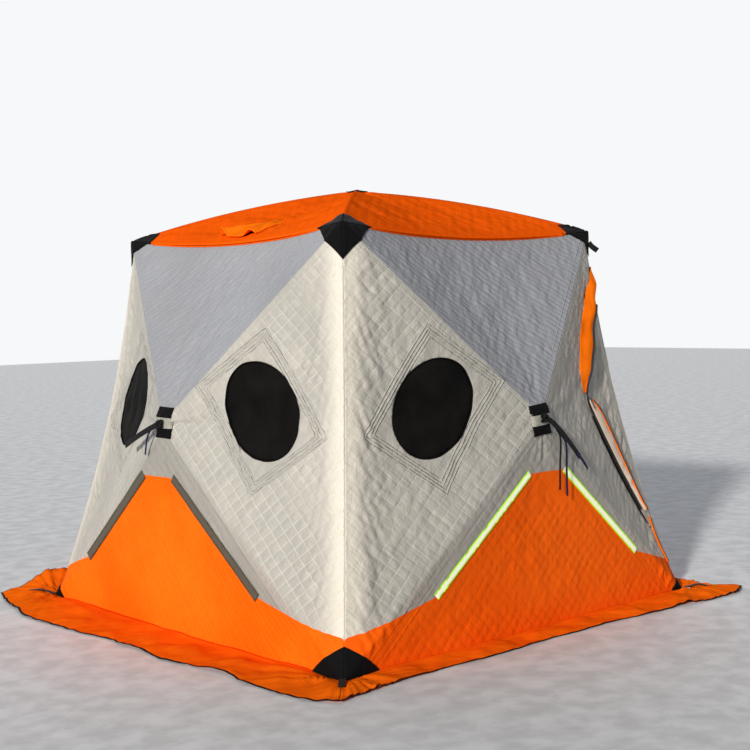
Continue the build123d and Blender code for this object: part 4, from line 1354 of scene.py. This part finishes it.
for wall in WALLS:
    knot(wall)
    for name, *facts in STRAPS_FRONT if wall == "front" else STRAPS_PLAIN:
        strap(name if wall == "front" else name + wall, wall, *facts)
anchor_strap(0)
start = bez(EDGE, [0.030])[0]       # a loose end of webbing at the right top corner
points = [start, start + arr(0.010, -0.010, -0.018), start + arr(0.030, -0.030, -0.040)]
piece("corner_strap", ribbon(curve3(points, 24), arr(-0.55, -0.80, -0.2), 0.026, 0.0024), M["webbing"], "webbing")
for number in (1, 2, 3):
    anchor_strap(number)


# ---------------------------------------------------------------- vent hood
def hood():
    """A curled flap on the left roof panel, with a rolled hem on its lip."""
    a = np.linspace(0, 1, 64)
    lip = 0.040 * np.exp(-((a - 0.10) / 0.085) ** 2) + 0.022 * np.exp(-((a - 0.86) / 0.11) ** 2) + 0.006
    lip = lip * smooth(a, -0.03, 0.05) * smooth(1 - a, -0.03, 0.06)
    rows = []
    for t in np.linspace(0, 1, 30):
        s = -0.060 + (a - 0.5) * 0.262 * (1 - 0.62 * t) + 0.085 * t
        up = 0.115 + 0.185 * t - 0.014 * np.sin(math.pi * a) * (1 - t) - 0.012 * (lip / 0.04) * (1 - t) ** 3
        plan = rot2(np.column_stack([s, up - TOP]), -90)
        body = 0.016 * math.sin(math.pi * min(1, t * 1.1)) * np.sin(math.pi * a) ** 0.7
        rows.append(on_roof(plan, 0.0036) + np.column_stack([a * 0, a * 0, lip * (1 - t) ** 1.6 + body * 0.8]))
    grid = np.array(rows)
    leaf("vent_hood_cloth", grid, grid.reshape(-1, 3)[:, :2], "flap", "cloth_orange", "roof_vent_hood", 0.0022,
         ((0.262, 0.190), "folded", ["roof_skin"], 0.262 * 0.190 * (1 + 0.38) / 2), arr(-0.25, 0, 0.97))
    piece("vent_hood_hem", tube(grid[0] + (-0.001, 0, 0.001), 0.0042), M["flap"], "cloth_orange")


hood()


# ---------------------------------------------------------------- finishes for the stiff parts that stay
FINISH = {"wall_poles": "pole", "roof_poles": "pole", "hubs": "plastic", "top_corner_blocks": "plastic",
          "pole_feet": "plastic", "anchor_buckles": "plastic", "zip_slider": "plastic", "anchor_eyelets": "metal"}
for name, finish in FINISH.items():
    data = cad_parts[name].data
    data.materials.clear()
    data.materials.append(M[finish])


# ---------------------------------------------------------------- camera, light, floor
corners = [(x * 30, y * 30, -0.002) for x, y in ((-1, -1), (1, -1), (1, 1), (-1, 1))]
floor = make("floor", corners, [[0, 1, 2, 3]], plain("floor_paint", rgb("dadcdf"), rough=0.8), body=None)
cam_data = bpy.data.cameras.new("camera")
cam_data.lens, cam_data.sensor_width = 62.4, 36.0
cam = bpy.data.objects.new("camera", cam_data)
bpy.context.scene.collection.objects.link(cam)
yaw, pitch, roll = (math.radians(a) for a in (42.42, -2.92, -1.15))
look = Vector((math.sin(yaw) * math.cos(pitch), math.cos(yaw) * math.cos(pitch), math.sin(pitch)))
cam.rotation_mode = "QUATERNION"
cam.rotation_quaternion = look.to_track_quat("-Z", "Y") @ Matrix.Rotation(roll, 4, "Z").to_quaternion()
cam.location = (-4.263, -4.770, 1.407)
bpy.context.scene.camera = cam
bpy.context.scene.render.resolution_x = bpy.context.scene.render.resolution_y = 750


def sun(name, energy, colour, azimuth, height, angle):
    light = bpy.data.lights.new(name, "SUN")
    light.energy, light.color, light.angle = energy, colour, math.radians(angle)
    o = bpy.data.objects.new(name, light)
    a, e = math.radians(azimuth), math.radians(height)
    way = Vector((math.sin(a) * math.cos(e), -math.cos(a) * math.cos(e), math.sin(e)))
    o.rotation_mode = "QUATERNION"
    o.rotation_quaternion = way.to_track_quat("Z", "Y")
    bpy.context.scene.collection.objects.link(o)


sun("sun_key", 3.5, (1.0, 0.965, 0.91), -67, 19, 4)
sun("sun_fill", 0.9, (0.92, 0.95, 1.0), 145, 32, 60)

world = bpy.data.worlds.new("world")
bpy.context.scene.world = world
world.use_nodes = True
tree = world.node_tree
tree.nodes.clear()
sky = add_node(tree, "Background", ((0.86, 0.90, 1.0, 1), 0.12))
back = add_node(tree, "Background", ((0.93, 0.94, 0.95, 1), 1.0))
rays = add_node(tree, "LightPath").outputs
mirrored = add_node(tree, "Math", (rays["Is Glossy Ray"], rays["Is Transmission Ray"]), operation="MAXIMUM")
seen = add_node(tree, "Math", (rays["Is Camera Ray"], mirrored.outputs[0]), operation="MAXIMUM")
pick = add_node(tree, "MixShader", (seen.outputs[0], sky.outputs[0], back.outputs[0]))
add_node(tree, "OutputWorld", (pick.outputs[0],))
bpy.context.scene.view_settings.view_transform = "Standard"
